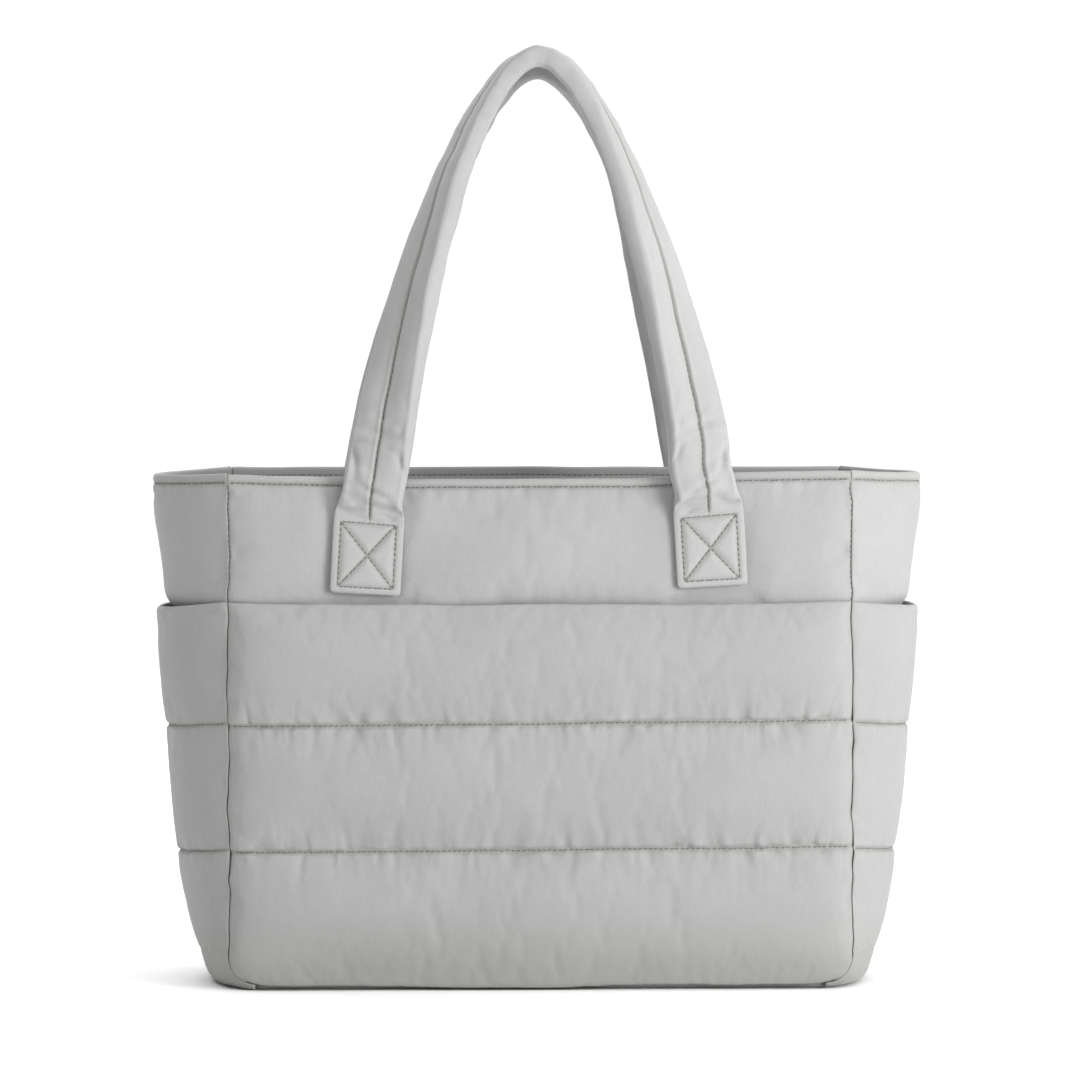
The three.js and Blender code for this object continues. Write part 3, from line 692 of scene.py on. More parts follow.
def strip_grid(side, stations, across, flare, half, arc, lift):
    """Points of a strip: from the seam out by edge + (flare - edge)(1 - |a|^n), and a times half
    the depth. n goes from the arc's power to 40, nearly flat, where the strip turns under, and the
    edge is the little that a sewn fold stands off its seam."""
    turn, z, seam, out = stations
    power = blend(arc, 40.0, turn**4)[:, None]
    full = 1 - np.abs(across)[None, :] ** power
    edge = np.minimum(SEWN_FOLD, flare)[:, None]
    away = (1 - np.abs(across))[None, :] * HALF_STRIP
    wave = np.where(across < 0, seam_wave(z, side, -1)[:, None], seam_wave(z, side, 1)[:, None])
    reach = edge + (flare[:, None] - edge) * full + wave * beside_seam(away) * (turn == 0)[:, None]
    grid = seam[:, None, :] + out[:, None, :] * reach[..., None]
    grid[..., 1] = across[None, :] * half[:, None]
    grid[..., 2] += lift(across[None, :], z[:, None])
    grid[..., 0] *= side
    return grid if side > 0 else grid[:, ::-1]


def side_sag(across, z):
    """A side wall and its pocket hang 4.5 mm lower half way across the bag's depth."""
    return -SIDE_SAG * ease((z - CORNER_Z) / (QUILT_LINES[0] - CORNER_Z)) * (1 - across**2)


def floor_reach(turn, lowest):
    """How far out from the seam a strip may go under the bag before it is that close to the floor."""
    sine = np.maximum(np.sin(turn * np.pi / 2), 1e-6)
    return np.where(turn > 0, (CORNER_Z - lowest) / sine - CORNER_RADIUS - EDGE_GAP, 1e6)


def round_least(a, b, power=5):
    """The lesser of two lengths, rounded where they cross: (a^-p + b^-p)^(-1/p)."""
    return (np.maximum(a, 0.05) ** -power + np.maximum(b, 0.05) ** -power) ** (-1 / power)


def gusset_grids(side, heights, across, wall_in=0.0):
    """The gusset's outer grid, or its inner one with wall_in the wall's thickness."""
    stations = strip_stations(heights)
    turn, z = stations[:2]
    flare = gusset_flare(np.maximum(z, CORNER_Z)) * blend(1, 0.94, ease(turn * 7))
    flare = round_least(flare, floor_reach(turn, POCKET_WALL + CLEARANCE)) - wall_in
    half = half_depth(z) - wall_in

    def lift(a, z):
        """Rise in mm from the rim's line and from the sag half way across."""
        rim = blend(front_rim(side), 0, (a + 1) / 2) * rim_share(z)
        return rim + side_sag(a, z) * (1 - 0.5 * rim_share(z))

    return strip_grid(side, stations, across, flare, half, GUSSET_ARC, lift)


def side_pocket_grids(side, heights, across, wall_in=0.0):
    """The side pocket's outer grid as sewn, or its inner one."""
    stations = strip_stations(heights)
    turn, z = stations[:2]
    flare = pocket_flare(np.maximum(z, CORNER_Z)) * blend(1, 0.94, ease(turn * 7))
    flare = round_least(flare, floor_reach(turn, 0)) - wall_in
    half = half_depth(z) + CLEARANCE + POCKET_WALL - wall_in
    return strip_grid(side, stations, across, flare, half, SIDE_POCKET_ARC, side_sag)


print("a gusset is", 2 * half_depth(BAG_HEIGHT), "mm deep at the rim")

# %% [markdown]
# The strips are blown up like the front, but only where they show: the gusset above its pocket, and
# the pocket between its stitch rows. Their grids run along the strip, so the same code serves both
# sides, with other seeds so that left and right don't match like mirror images.


# %% Gussets and side pockets
def blown_strip(make, heights, fine_heights, across, fine_across, height_of, held, **how):
    """A strip's fine grid after the simulation, from a function that makes its grid."""
    fine = make(fine_heights, fine_across)
    under = np.linspace(-UNDER_ROWS, -1, UNDER_ROWS)
    keys, fine_keys = np.r_[under, heights], np.r_[under, fine_heights]
    a, z = np.meshgrid(across, keys)
    return settled(make(heights, across), fine, height_of(a, z), held(a, z), (keys, across),
                   (fine_keys, fine_across), **how)


gusset_lines = [POCKET_HEIGHT - 12, HEM_LINE, TOP]
strip_across, strip_fine = crowded(46, 0.3), crowded(83, 0.35)
low_heights = graded([CORNER_Z, POCKET_HEIGHT - 14], [24], 0.2)
strip_pocket_lines = [CORNER_Z, *QUILT_LINES, POCKET_HEIGHT - MOUTH_WALL / 2]
print("a strip has", strip_fine.size, "columns, and", low_heights.size, "rows behind its pocket")

# %% [markdown]
# What the strips are filled with, where they are held and which marks they carry is said by place,
# as on the front: a is how far across the strip, from -1 to 1, and z how far up.


# %% Filling and marks of the strips
def gusset_puff(a, z):
    """The gusset's filling shows only above the pocket's mouth: 1.1 mm under the hem."""
    return channel_puff(gusset_lines, [1.1, 0.2], a, z) * (z > gusset_lines[0])


def gusset_held(a, z):
    """Held at its seams, along the hem, and everywhere behind the pocket."""
    return (np.abs(a) > 0.999) | (z <= gusset_lines[0]) | (z >= HEM_LINE)


def side_pocket_puff(a, z):
    """1.8 mm of filling, and 1.6 mm under the mouth: a side pocket is pulled tight."""
    return channel_puff(strip_pocket_lines, [1.8, 1.8, 1.6], a, z) * (z > CORNER_Z)


def side_pocket_held(a, z):
    """Held at its seams, on its stitch rows, at the mouth and under the bag."""
    rows = np.isin(np.round(z, 6), np.round(strip_pocket_lines, 6))
    return (np.abs(a) > 0.999) | rows | (z <= CORNER_Z)


def strip_marks(columns, heights, lines, seed, hem):
    """Relief in mm from stitch rows, seams, slow creases and hem, and painted shade at rows, seams, hem and
    foot.
    """
    under = np.linspace(CORNER_Z - 22, CORNER_Z - 1, UNDER_ROWS)
    a, z = np.meshgrid(columns, np.concatenate([under, heights]))
    seam = (1 - np.abs(a)) * HALF_STRIP
    relief = row_marks(a, z, lines, seed, width=150, depth=0.8, gather=0.9)
    relief += carried(a * HALF_STRIP, z, seed + 9, 0.6) * side_fall(a) * ease((z - CORNER_Z) / 30)
    relief += 0.9 * puckers(z, seam, seed + 19, 8) * ease(seam / 2)
    # Painted shade along the stitch rows, the seams and the foot.
    painted_shade = np.maximum.reduce([near_line(z - line, 1.4) for line in lines]
                             + [0.35 * near_line(seam, 1.5), foot_shade(z)])
    if hem:
        relief += hem_marks(a * 0.45, z, seed + 29) * (z > POCKET_HEIGHT)
        painted_shade = np.maximum(painted_shade, near_line(z - HEM_LINE, 2))
    return relief, painted_shade


def shown_rows(heights):
    """0 for the rows under the bag and behind the pocket, 1 where the gusset shows."""
    return np.concatenate([np.zeros(UNDER_ROWS), ease((heights - POCKET_HEIGHT + 14) / 6)])


print("filling half way up a side pocket:", round(float(side_pocket_puff(0.0, 115.0)), 1), "mm")

# %% [markdown]
# Both sides are made by one function. The gusset's finer marks fade out behind its pocket, and the
# strips' long edges are rolled straight inwards, so that they meet the panels in a tight seam.


# %% Left and right side
def side_pieces(side, word, seed):
    """The gusset and the side pocket of one side, and their grids for the stitches."""
    heights = np.concatenate([low_heights, graded(gusset_lines, [20, 3])])
    fine_heights = np.concatenate([low_heights, graded(gusset_lines, [44, 7])])
    gusset = blown_strip(lambda h, a: gusset_grids(side, h, a), heights, fine_heights, strip_across,
                         strip_fine, gusset_puff, gusset_held, grow=0.004, cap=3.5, seed=seed)
    relief, painted_shade = strip_marks(strip_fine, fine_heights, [], seed, True)
    gusset = gusset + normals(gusset) * (relief * shown_rows(fine_heights)[:, None])[..., None]
    inside = gusset_grids(side, fine_heights, strip_fine, WALL)
    inward = [np.array([-side, 0, 0.0])] * 2
    edges = {"ways": (None, None, *inward), "ends": (0, 1, SEWN_ROLL, SEWN_ROLL)}
    wall = wall_piece(f"gusset_{word}_cloth", gusset, inside, painted_shade, **edges)
    pocket_heights = graded(strip_pocket_lines, [14, 14, 14])
    pocket_fine = graded(strip_pocket_lines, [28, 30, 30])
    pouch = blown_strip(lambda h, a: side_pocket_grids(side, h, a), pocket_heights, pocket_fine,
                        strip_across, strip_fine, side_pocket_puff, side_pocket_held,
                        grow=0.005, cap=4, seed=seed + 1)
    marks, pouch_painted_shade = strip_marks(strip_fine, pocket_fine, QUILT_LINES, seed + 3, False)
    pouch = pouch + normals(pouch) * marks[..., None]
    pouch_inside = side_pocket_grids(side, pocket_fine, strip_fine, POCKET_WALL)
    pouch_wall = wall_piece(f"side_pocket_{word}_cloth", pouch, pouch_inside, pouch_painted_shade, **edges)
    return gusset, inside, wall, pouch, pouch_wall, fine_heights, pocket_fine


left_side = side_pieces(-1, "left", 301)
right_side = side_pieces(1, "right", 401)

# %% [markdown]
# The base is a plain quilted strip between the gussets' lower ends. It shows only from below, so it
# is a flat wall whose long edges are rolled up to the front and back.

# %% Base
base_across, base_share = crowded(49, 0.4), np.linspace(-1, 1, 81)
b_share, b_across = np.meshgrid(base_share, base_across)
lowest = (BASE_WALL - EDGE_GAP) * np.abs(b_across) ** 40
puff_down = 0.25 * (1 - np.cos(b_share * np.pi * 6)) / 2
base_out = np.stack([b_share * (CORNER_X - EDGE_GAP), -b_across * half_depth(0), lowest + puff_down], -1)
base_in = np.stack([b_share * (CORNER_X - EDGE_GAP), -b_across * (half_depth(0) - WALL),
                    0 * b_share + BASE_WALL - EDGE_GAP], -1)
# Painted shade along the base's front and back edges.
base_painted_shade = near_line(1 - np.abs(b_across), 0.05)
base_panel = wall_piece("base_panel_cloth", base_out[::-1], base_in[::-1], base_painted_shade, ends=(0, 0, 0, 0))

# %% [markdown]
# A handle is a padded tube of cloth, flattened at both ends where it is sewn to the panel. It lies
# flat there and turns through a quarter turn on its way up, so that its edge faces the front at the
# top. It is a profile carried along a path: the path is a smooth curve through the places that the
# CAD gives, and the profile is a squashed circle, |x|^n + |y|^n = 1.

# %% Path of a handle
STRAP_WIDTH, STRAP_THICK, END_WIDTH, END_THICK = 34.6, 12.5, 40.0, 4.4
END_LENGTH, SWELL_LENGTH, END_GAP, END_LIFT, END_INSET = 42.0, 14.0, 5.0, 4.0, 1.8
HANDLE_RISE, BACK_LOWER, PRESSED_PUFF = 236.0, 6.5, 1.2
LOOP_RISE = np.array([0.09, 0.2, 0.33, 0.47, 0.61, 0.74, 0.85, 0.93, 0.982, 1])
LOOP_SPREAD = np.array([0.905, 0.856, 0.783, 0.694, 0.588, 0.475, 0.351, 0.232, 0.113, 0])
LOOP_LEAN = np.array([0.04, 0.12, 0.26, 0.43, 0.61, 0.77, 0.89, 0.96, 0.99, 1])


def handle_arm(side, sign):
    """Places of one arm from its sewn foot to the top: sign -1 is the left arm. The back handle
    is held a little lower and rounder at the top, so that it shows under the front one."""
    foot = POCKET_HEIGHT + END_GAP + END_LIFT / 2 + (sign * END_LIFT / 2 if side < 0 else 0)
    z = foot + np.array([0, 0.7 * END_LENGTH, END_LENGTH, END_LENGTH + SWELL_LENGTH])
    z = np.append(z, BAG_HEIGHT + 3)
    thick = np.array([END_THICK, END_THICK, END_THICK, STRAP_THICK, STRAP_THICK])
    inset = END_INSET if side < 0 and sign > 0 else 0
    x = sign * (np.array([1.01, 0.993, 0.985, 0.965, 0.938]) * HANDLE_SEAT - inset)
    y = side * (half_depth(z) + PRESSED_PUFF + CLEARANCE + thick / 2)
    top = side * (STRAP_WIDTH + 2.1) / 2
    rise = HANDLE_RISE - (BACK_LOWER if side > 0 else 0)
    wider = (0.11 if sign > 0 else 0.03) * ease((LOOP_RISE - 0.45) / 0.4) * (side > 0)
    loop = np.stack([sign * LOOP_SPREAD * (1 + wider) * HANDLE_SEAT, blend(y[-1], top, LOOP_LEAN),
                     BAG_HEIGHT + LOOP_RISE * rise], -1)
    return np.concatenate([np.stack([x, y, z], -1), loop])


def smooth_path(places, steps=24):
    """A Catmull-Rom curve through places, with knots apart by the square root of their distance."""
    ends = [2 * places[:1] - places[1:2], places, 2 * places[-1:] - places[-2:-1]]
    p = np.concatenate(ends)
    gap = np.sqrt(np.linalg.norm(np.diff(p, axis=0), axis=-1))[:, None]
    a, b, c = gap[:-2], gap[1:-1], gap[2:]
    p0, p1, p2, p3 = p[:-3], p[1:-2], p[2:-1], p[3:]
    m1 = ((p1 - p0) / a - (p2 - p0) / (a + b) + (p2 - p1) / b) * b
    m2 = ((p2 - p1) / b - (p3 - p1) / (b + c) + (p3 - p2) / c) * b
    t = np.linspace(0, 1, steps, endpoint=False)[:, None, None]
    curve = (2 * t**3 - 3 * t**2 + 1) * p1 + (t**3 - 2 * t**2 + t) * m1
    curve = curve + (3 * t**2 - 2 * t**3) * p2 + (t**3 - t**2) * m2
    return np.concatenate([curve.swapaxes(0, 1).reshape(-1, 3), places[-1:]])


def handle_path(side):
    """The strap's middle line from its left end over the top to its right end."""
    return smooth_path(np.concatenate([handle_arm(side, -1), handle_arm(side, 1)[-2::-1]]))


for word, side in (("front", -1), ("back", 1)):
    steps = np.linalg.norm(np.diff(handle_path(side), axis=0), axis=-1)
    print("the", word, "handle is", round(float(steps.sum())), "mm long from end to end")

# %% [markdown]
# On the strap itself, a seam runs down the middle of the outer face. Each end is sewn down with a
# box and a cross of thread, and the four triangles between the stitches stay soft. Short wrinkles
# gather just above the box, where the padding starts, and at the top, where the strap bends most.

# %% Relief of a handle
BOX_HALF, BOX_LOW, BOX_HIGH = 15.6, 3.6, 40.0
STRAP_SAMPLES = 49


def strap_samples():
    """Places across the strap's face, crowded at its middle seam and at both edges."""
    t = np.linspace(-1, 1, STRAP_SAMPLES)
    return t - 0.62 * np.sin(2 * np.pi * t) / (2 * np.pi)


def box_distance(x, v):
    """Distance in mm from the nearest stitch of the box and of its cross, on the strap's end."""
    inside = (np.abs(x) <= BOX_HALF + 0.5) & (v >= BOX_LOW - 0.5) & (v <= BOX_HIGH + 0.5)
    sides = np.minimum(np.abs(np.abs(x) - BOX_HALF), np.minimum(np.abs(v - BOX_LOW), np.abs(v - BOX_HIGH)))
    high = BOX_HIGH - BOX_LOW
    slope = np.hypot(high, 2 * BOX_HALF)
    middle = (BOX_LOW + BOX_HIGH) / 2
    one = np.abs(high * x - 2 * BOX_HALF * (v - middle)) / slope
    two = np.abs(high * x + 2 * BOX_HALF * (v - middle)) / slope
    return np.where(inside, np.minimum(sides, np.minimum(one, two)), 99.0)


def strap_relief(x, along, length, seed):
    """Height in mm added to the strap's outer face: middle seam, box and cross, and wrinkles."""
    end = np.minimum(along, length - along)
    swell = ease((end - END_LENGTH) / SWELL_LENGTH)
    wander = 0.7 * ripples(along, 0 * x, (45, 9), seed) * swell
    seam = -1.5 * near_line(x - wander, 0.75) * ease((end - END_LENGTH + 2) / 5)
    seam = seam - 1.1 * near_line(x - wander, 6) * swell
    ridge = 0.4 * near_line(x - wander + 1.9, 1.0) * swell
    edge = 0.5 * near_line(np.abs(x) - STRAP_WIDTH / 2 + 1.8, 1.2) * swell
    box = box_distance(x, end)
    sewn = (0.8 * ease(box / 4) - 0.7 * near_line(box, 0.8)) * (box < 90)
    gather = 1.5 * ripples(end + 0.2 * x, x, (4.8, 15), seed + 1)
    gather = gather + 2.0 * creases(end + 0.15 * x, x, (8, 26), seed + 6)
    gather = gather * near_line(end - END_LENGTH - 14, 42) * ease((end - END_LENGTH + 1) / 4)
    top = near_line(end - length / 2, 75) * ripples(along, x, (4.2, 26), seed + 2) * 0.5
    all_over = 0.5 * ripples(along, x, (13, 18), seed + 3) + 0.6 * ripples(along, x, (40, 30), seed + 4)
    return seam + ridge + edge + sewn + gather + (top + all_over) * swell


print("the box of stitches is", 2 * BOX_HALF, "mm wide and", BOX_HIGH - BOX_LOW, "mm high")

# %% [markdown]
# The strap's section needs three directions at each place along the path: along it, across the
# strap, and out of its face. The face looks away from the panel at the sewn ends and sideways at
# the top, and in between it turns about the path.


# %% Rings of a handle
def strap_frame(side):
    """Lengths along the strap and its middle points there, with the ways along it and out of its
    face. The face turns by a quarter turn from the sewn end to the top."""
    path = handle_path(side)
    at = np.r_[0, np.cumsum(np.linalg.norm(np.diff(path, axis=0), axis=-1))]
    length = at[-1]
    ends = np.r_[0, 0.5, 1.2, np.arange(2, 62, 1.0)]
    along = np.unique(np.r_[ends, np.linspace(62, length - 62, 250), length - ends])
    centre = np.stack([np.interp(along, at, path[:, k]) for k in range(3)], -1)
    tangent = np.gradient(centre, along, axis=0)
    tangent /= np.linalg.norm(tangent, axis=-1, keepdims=True)
    end = np.minimum(along, length - along)
    turn = np.clip((end - END_LENGTH) / (length / 2 - END_LENGTH), 0, 1)[:, None]
    turn = blend(turn, np.sin(turn * np.pi / 2), 0.5) * np.pi / 2
    away = np.array([0, side, 0.0]) - tangent * (side * tangent[:, 1:2])
    away /= np.linalg.norm(away, axis=-1, keepdims=True)
    around = np.stack([-tangent[:, 2], 0 * along, tangent[:, 0]], -1)
    around /= np.linalg.norm(around, axis=-1, keepdims=True)
    face = away * np.cos(turn) + around * np.sin(turn)
    face -= tangent * (face * tangent).sum(-1, keepdims=True)
    return along, length, centre, tangent, face / np.linalg.norm(face, axis=-1, keepdims=True)


def handle_grid(side, seed):
    """Rings of the strap: its middle line, plus the profile across it and away from the panel."""
    along, length, centre, tangent, face = strap_frame(side)
    end = np.minimum(along, length - along)
    swell = ease((end - END_LENGTH) / SWELL_LENGTH)[:, None]
    width = np.cross(tangent, face)
    front = strap_samples()
    s = np.concatenate([front, front[-2:0:-1]])[None, :]
    sign = np.where(np.arange(s.size) < STRAP_SAMPLES, 1, -1)[None, :]
    round_end = 1 - np.sqrt(np.clip(1 - (1 - np.clip(end / 2.4, 0, 1)) ** 2, 0, 1))[:, None]
    half = blend(END_WIDTH, STRAP_WIDTH, swell) / 2 - 2.4 * round_end
    half = half + 0.5 * swell * ripples(along, 0 * along, (28, 9), seed + 8)[:, None]
    thick = blend(END_THICK, STRAP_THICK, swell) * (1 - 0.55 * round_end)
    power = blend(6.0, 4.2, swell)
    bend = near_line(end - length / 2, 70)[:, None]
    folds = 0.5 * ripples(along[:, None], 9 * s * sign, (5, 7), seed + 7)
    folds = folds + 0.9 * creases(along[:, None], 9 * s * sign, (7, 6), seed + 10)
    x = half * s + np.sign(s) * bend * folds * s**4
    y = sign * thick / 2 * (1 - np.abs(s) ** power) ** (1 / power)
    relief = strap_relief(x, along[:, None], length, seed)
    under = 0.5 * ripples(along[:, None], x, (9, 18), seed + 9) * swell
    y = y + np.where(sign > 0, relief, under) * (1 - np.abs(s) ** 16)
    rings = centre[:, None, :] + width[:, None, :] * x[..., None] + face[:, None, :] * y[..., None]
    return rings, along, x, face, length


def tube_faces(rings, around):
    """Faces of a closed tube through rings: its side, and a row of quads over each end."""
    index = np.arange(rings * around).reshape(rings, around)
    turned = np.roll(index, -1, axis=1)
    side = np.stack([index[:-1], turned[:-1], turned[1:], index[1:]], -1).reshape(-1, 4)
    k = np.arange(around // 2 - 1)
    cap = np.stack([k, k + 1, around - 2 - k, around - 1 - k], -1)
    return np.concatenate([side, index[0][cap[:, ::-1]], index[-1][cap]])


def handle_piece(side, word, seed):
    """A handle's mesh, and what its stitches need: the outer face, the lengths along it, and the
    sign that turns its normals outwards."""
    rings, along, x, face, length = handle_grid(side, seed)
    turned = np.sign(normals(rings)[0, STRAP_SAMPLES // 2] @ face[0])
    faces = tube_faces(*rings.shape[:2])
    if turned < 0:
        faces = faces[:, ::-1]
    end = np.minimum(along, length - along)[:, None]
    # Painted shade along the strap's middle seam and its boxes of stitches.
    sewn = np.maximum(near_line(x, 1.5) * (end > END_LENGTH), near_line(box_distance(x, end), 1.2))
    painted_shade = sewn * (np.arange(rings.shape[1]) < STRAP_SAMPLES)
    piece = mesh_piece(f"handle_{word}_cloth", rings, faces, cloth_lengths(rings), painted_shade)
    print(piece.name, "has", len(piece.data.polygons), "faces")
    return piece, (rings[:, :STRAP_SAMPLES], along, length, turned)


handle_front, front_strap = handle_piece(-1, "front", 501)
handle_back, back_strap = handle_piece(1, "back", 601)

# %% [markdown]
# Thread is what makes a seam read as sewn. Each stitch is a tiny spindle of six sides that lies half
# sunk in the cloth, a little slantwise. All the stitches of one seam are worked out in a single step
# from the points and normals of the line they follow, so thousands of them stay light.


# %% Thread
def spindle(rings=5, sides=6):
    """A unit stitch along x: radius (1 - t^4)^0.5 at t from -1 to 1, and its faces."""
    t = np.linspace(-1, 1, rings)
    radius = np.sqrt(np.clip(1 - t**4, 0.02, 1))
    angle = np.arange(sides) * 2 * np.pi / sides
    y, z = radius[:, None] * np.cos(angle), radius[:, None] * np.sin(angle)
    points = np.stack([np.broadcast_to(t[:, None], y.shape), y, z], -1).reshape(-1, 3)
    index = np.arange(rings * sides).reshape(rings, sides)
    turned = np.roll(index, -1, axis=1)
    quads = np.stack([index[:-1], turned[:-1], turned[1:], index[1:]], -1).reshape(-1, 4)
    return points, quads[:, ::-1]


def unit(v):
    """Vectors scaled to length 1."""
    return v / np.maximum(np.linalg.norm(v, axis=-1, keepdims=True), 1e-9)


def seam_stitches(points, normal, pitch=3.0, thick=0.75, lift=0.1, slant=0.12, seed=1):
    """Stitches along a line of points in mm: centres every pitch, long axis along the line turned
    by slant, lifted along the normal. Returns points and faces of all of them."""
    at = np.r_[0, np.cumsum(np.linalg.norm(np.diff(points, axis=0), axis=-1))]
    count = max(2, int(round(at[-1] / pitch)))
    middle = (np.arange(count) + 0.5) * at[-1] / count
    rng = np.random.default_rng(seed)
    middle = middle + rng.uniform(-0.12, 0.12, count) * pitch

    def read(rows, place):
        """Points or normals at lengths along the line."""
        return np.stack([np.interp(place, at, rows[:, k]) for k in range(3)], -1)

    centre, out = read(points, middle), unit(read(normal, middle))
    along = unit(read(points, middle + 1) - read(points, middle - 1))
    side = np.cross(out, along)
    tilt = slant + rng.uniform(-0.06, 0.06, count)[:, None]
    along, side = unit(along + side * tilt), unit(side - along * tilt)
    shape, faces = spindle()
    size = np.array([pitch * 0.41, thick / 2, thick / 2])
    local = shape * size
    spots = centre[:, None] + out[:, None] * lift + along[:, None] * local[None, :, :1]
    spots = spots + side[:, None] * local[None, :, 1:2] + out[:, None] * local[None, :, 2:]
    quads = faces[None] + (np.arange(count) * len(shape))[:, None, None]
    return spots.reshape(-1, 3), quads.reshape(-1, 4)


def thread_piece(name, seams):
    """One mesh from several seams' stitches."""
    points, faces, start = [], [], 0
    for spots, quads in seams:
        points.append(spots)
        faces.append(quads + start)
        start += len(spots)
    piece = mesh_piece(name, np.concatenate(points), np.concatenate(faces))
    print(name, "has", len(piece.data.polygons) // 24, "stitches")
    return piece


def line_at(grid, keys, key):
    """A row of a grid at a key between its rows, with its normals."""
    weight = through(keys, np.eye(len(keys)), np.array([key]))[0]
    normal = normals(grid)
    return np.einsum("r,rck->ck", weight, grid), unit(np.einsum("r,rck->ck", weight, normal))


print("a stitch has", len(spindle()[1]), "faces")

# %% [markdown]
# The seams of the body: two stitch rows round the pockets and three across the back, a hem row
# round the rim that shows outside and inside, and the side seams where no pocket covers them.

# %% Stitches of the body
INSET = slice(2, -2)
seams = []
for key, line in enumerate(QUILT_LINES):
    points, out = line_at(pocket, pocket_rows, line)
    seams.append(seam_stitches(points[INSET], out[INSET], seed=10 + key))
pocket_thread = thread_piece("stitches_front_pocket", seams)

side_seams, rim_seams = [], []
for number, strips in enumerate((left_side, right_side)):
    gusset, inside, _, pouch, _, gusset_heights, pouch_heights = strips
    for key, line in enumerate(QUILT_LINES):
        points, out = line_at(pouch[UNDER_ROWS:], pouch_heights, line)
        side_seams.append(seam_stitches(points[INSET], out[INSET], seed=20 + 2 * number + key))
    points, out = line_at(gusset[UNDER_ROWS:], gusset_heights, HEM_LINE)
    rim_seams.append(seam_stitches(points[1:-1], out[1:-1], seed=30 + number))
    points, out = line_at(inside[UNDER_ROWS:], gusset_heights, HEM_LINE)
    rim_seams.append(seam_stitches(points[1:-1], -out[1:-1], seed=34 + number))
side_thread = thread_piece("stitches_side_pockets", side_seams)

back_seams = []
for key, line in enumerate([*QUILT_LINES, POCKET_HEIGHT]):
    points, out = line_at(back_grid, back_fine_rows, line)
    back_seams.append(seam_stitches(points[INSET], out[INSET], seed=40 + key))
back_thread = thread_piece("stitches_back_panel", back_seams)

front_keys = np.concatenate([np.linspace(PANEL_FOOT + PANEL_FOLD, POCKET_HEIGHT - 14, 16), front_fine_rows])
for number, (grid, keys, turned) in enumerate((
        (front_grid, front_keys, 1), (front_inside, front_keys, -1),
        (back_grid, back_fine_rows, 1), (back_inside, back_fine_rows, -1))):
    points, out = line_at(grid, keys, HEM_LINE)
    rim_seams.append(seam_stitches(points[1:-1], turned * out[1:-1], seed=50 + number))
rim_thread = thread_piece("stitches_rim", rim_seams)

upright_seams = []
for number, (grid, columns, low_key, keys) in enumerate((
        (front_grid, front_fine_columns, POCKET_HEIGHT - 3, front_keys),
        (back_grid, back_fine_columns, PANEL_FOOT + 4, back_fine_rows))):
    normal = normals(grid)
    shown = (keys > low_key) & (keys < HEM_LINE - 1)
    for sign in (-1, 1):
        column = 0 if sign < 0 else -1
        upright_seams.append(seam_stitches(grid[shown, column], normal[shown, column], thick=0.5,
                                           lift=0.2, seed=60 + number + sign))
upright_thread = thread_piece("stitches_side_seams", upright_seams)


# %% [markdown]
# The straps' stitches lie on a face that bends and turns, so a stitch's place is first said in the
# strap's own terms: how far along it and how far from its middle. That place is then read from the
# rings of the strap, with the normal there.


# %% Stitches of the handles
def strap_line(strap, along, places, offsets):
    """Points and normals on the strap's outer face, at lengths along it and mm from its middle."""
    normal = normals(strap)
    ring = np.interp(places, along, np.arange(len(along)))
    i = np.clip(ring.astype(int), 0, len(along) - 2)
    share = (ring - i)[:, None]
    half = np.linalg.norm(strap[i, -1] - strap[i, 0], axis=-1) / 2
    samples = strap_samples()
    column = np.interp(np.clip(offsets / half, -1, 1), samples, np.arange(STRAP_SAMPLES))
    j = np.clip(column.astype(int), 0, STRAP_SAMPLES - 2)
    cross = (column - j)[:, None]

    def read(grid):
        """A grid's values between four of its points."""
        low = blend(grid[i, j], grid[i, j + 1], cross)
        return blend(low, blend(grid[i + 1, j], grid[i + 1, j + 1], cross), share)

    return read(strap), unit(read(normal))


def handle_stitches(strap, along, length, turned, seed):
    """Both boxes with their crosses, and the middle seam between them."""
    rows = []
    for flip in (False, True):
        corners = [(-BOX_HALF, BOX_LOW), (BOX_HALF, BOX_LOW), (BOX_HALF, BOX_HIGH), (-BOX_HALF, BOX_HIGH)]
        lines = [(0, 1), (1, 2), (2, 3), (3, 0), (0, 2), (1, 3)]
        for k, (a, b) in enumerate(lines):
            t = np.linspace(0.01, 0.99, 40)
            x = blend(corners[a][0], corners[b][0], t)
            v = blend(corners[a][1], corners[b][1], t)
            points, out = strap_line(strap, along, length - v if flip else v, x)
            rows.append((points, out, 2.9, seed + k))
    v = np.linspace(END_LENGTH + 2, length - END_LENGTH - 2, 400)
    swell = ease((np.minimum(v, length - v) - END_LENGTH) / SWELL_LENGTH)
    wander = 0.7 * ripples(v, 0 * v, (45, 9), seed) * swell
    points, out = strap_line(strap, along, v, wander)
    rows.append((points, out, 3.4, seed + 9))
    return [seam_stitches(p, turned * n, pitch, 0.7, 0.08, 0.14, s) for p, n, pitch, s in rows]


handle_thread = thread_piece(
    "stitches_handles",
    handle_stitches(*front_strap, 501) + handle_stitches(*back_strap, 601))

# %% [markdown]
# The shell is a matt, densely woven fabric with a soft hand. Its material has three scales: threads
# about half a millimetre apart as bump along the cloth's own two directions, uneven yarns about six
# millimetres long, and a very slow change of tone. Seams, stitch rows and the foot get painted
# shade, a touch darker and warmer: a point attribute says where.


# %% Nodes of a material
def add_node(tree, kind, place, inputs, **settings):
    """A node of a kind at a place: first its settings, then its inputs by name or number. An input
    is either a value or another node's output, which is linked to it."""
    node = tree.nodes.new(kind)
    node.location = place
    for name, value in settings.items():
        setattr(node, name, value)
    for name, source in inputs.items():
        if isinstance(source, bpy.types.NodeSocket):
            tree.links.new(source, node.inputs[name])
        else:
            node.inputs[name].default_value = source
    return node


def noise(tree, vector, height, **values):
    """The grey value of a noise texture that is read at a vector."""
    return add_node(tree, "ShaderNodeTexNoise", (-900, height), {"Vector": vector, **values}).outputs["Fac"]


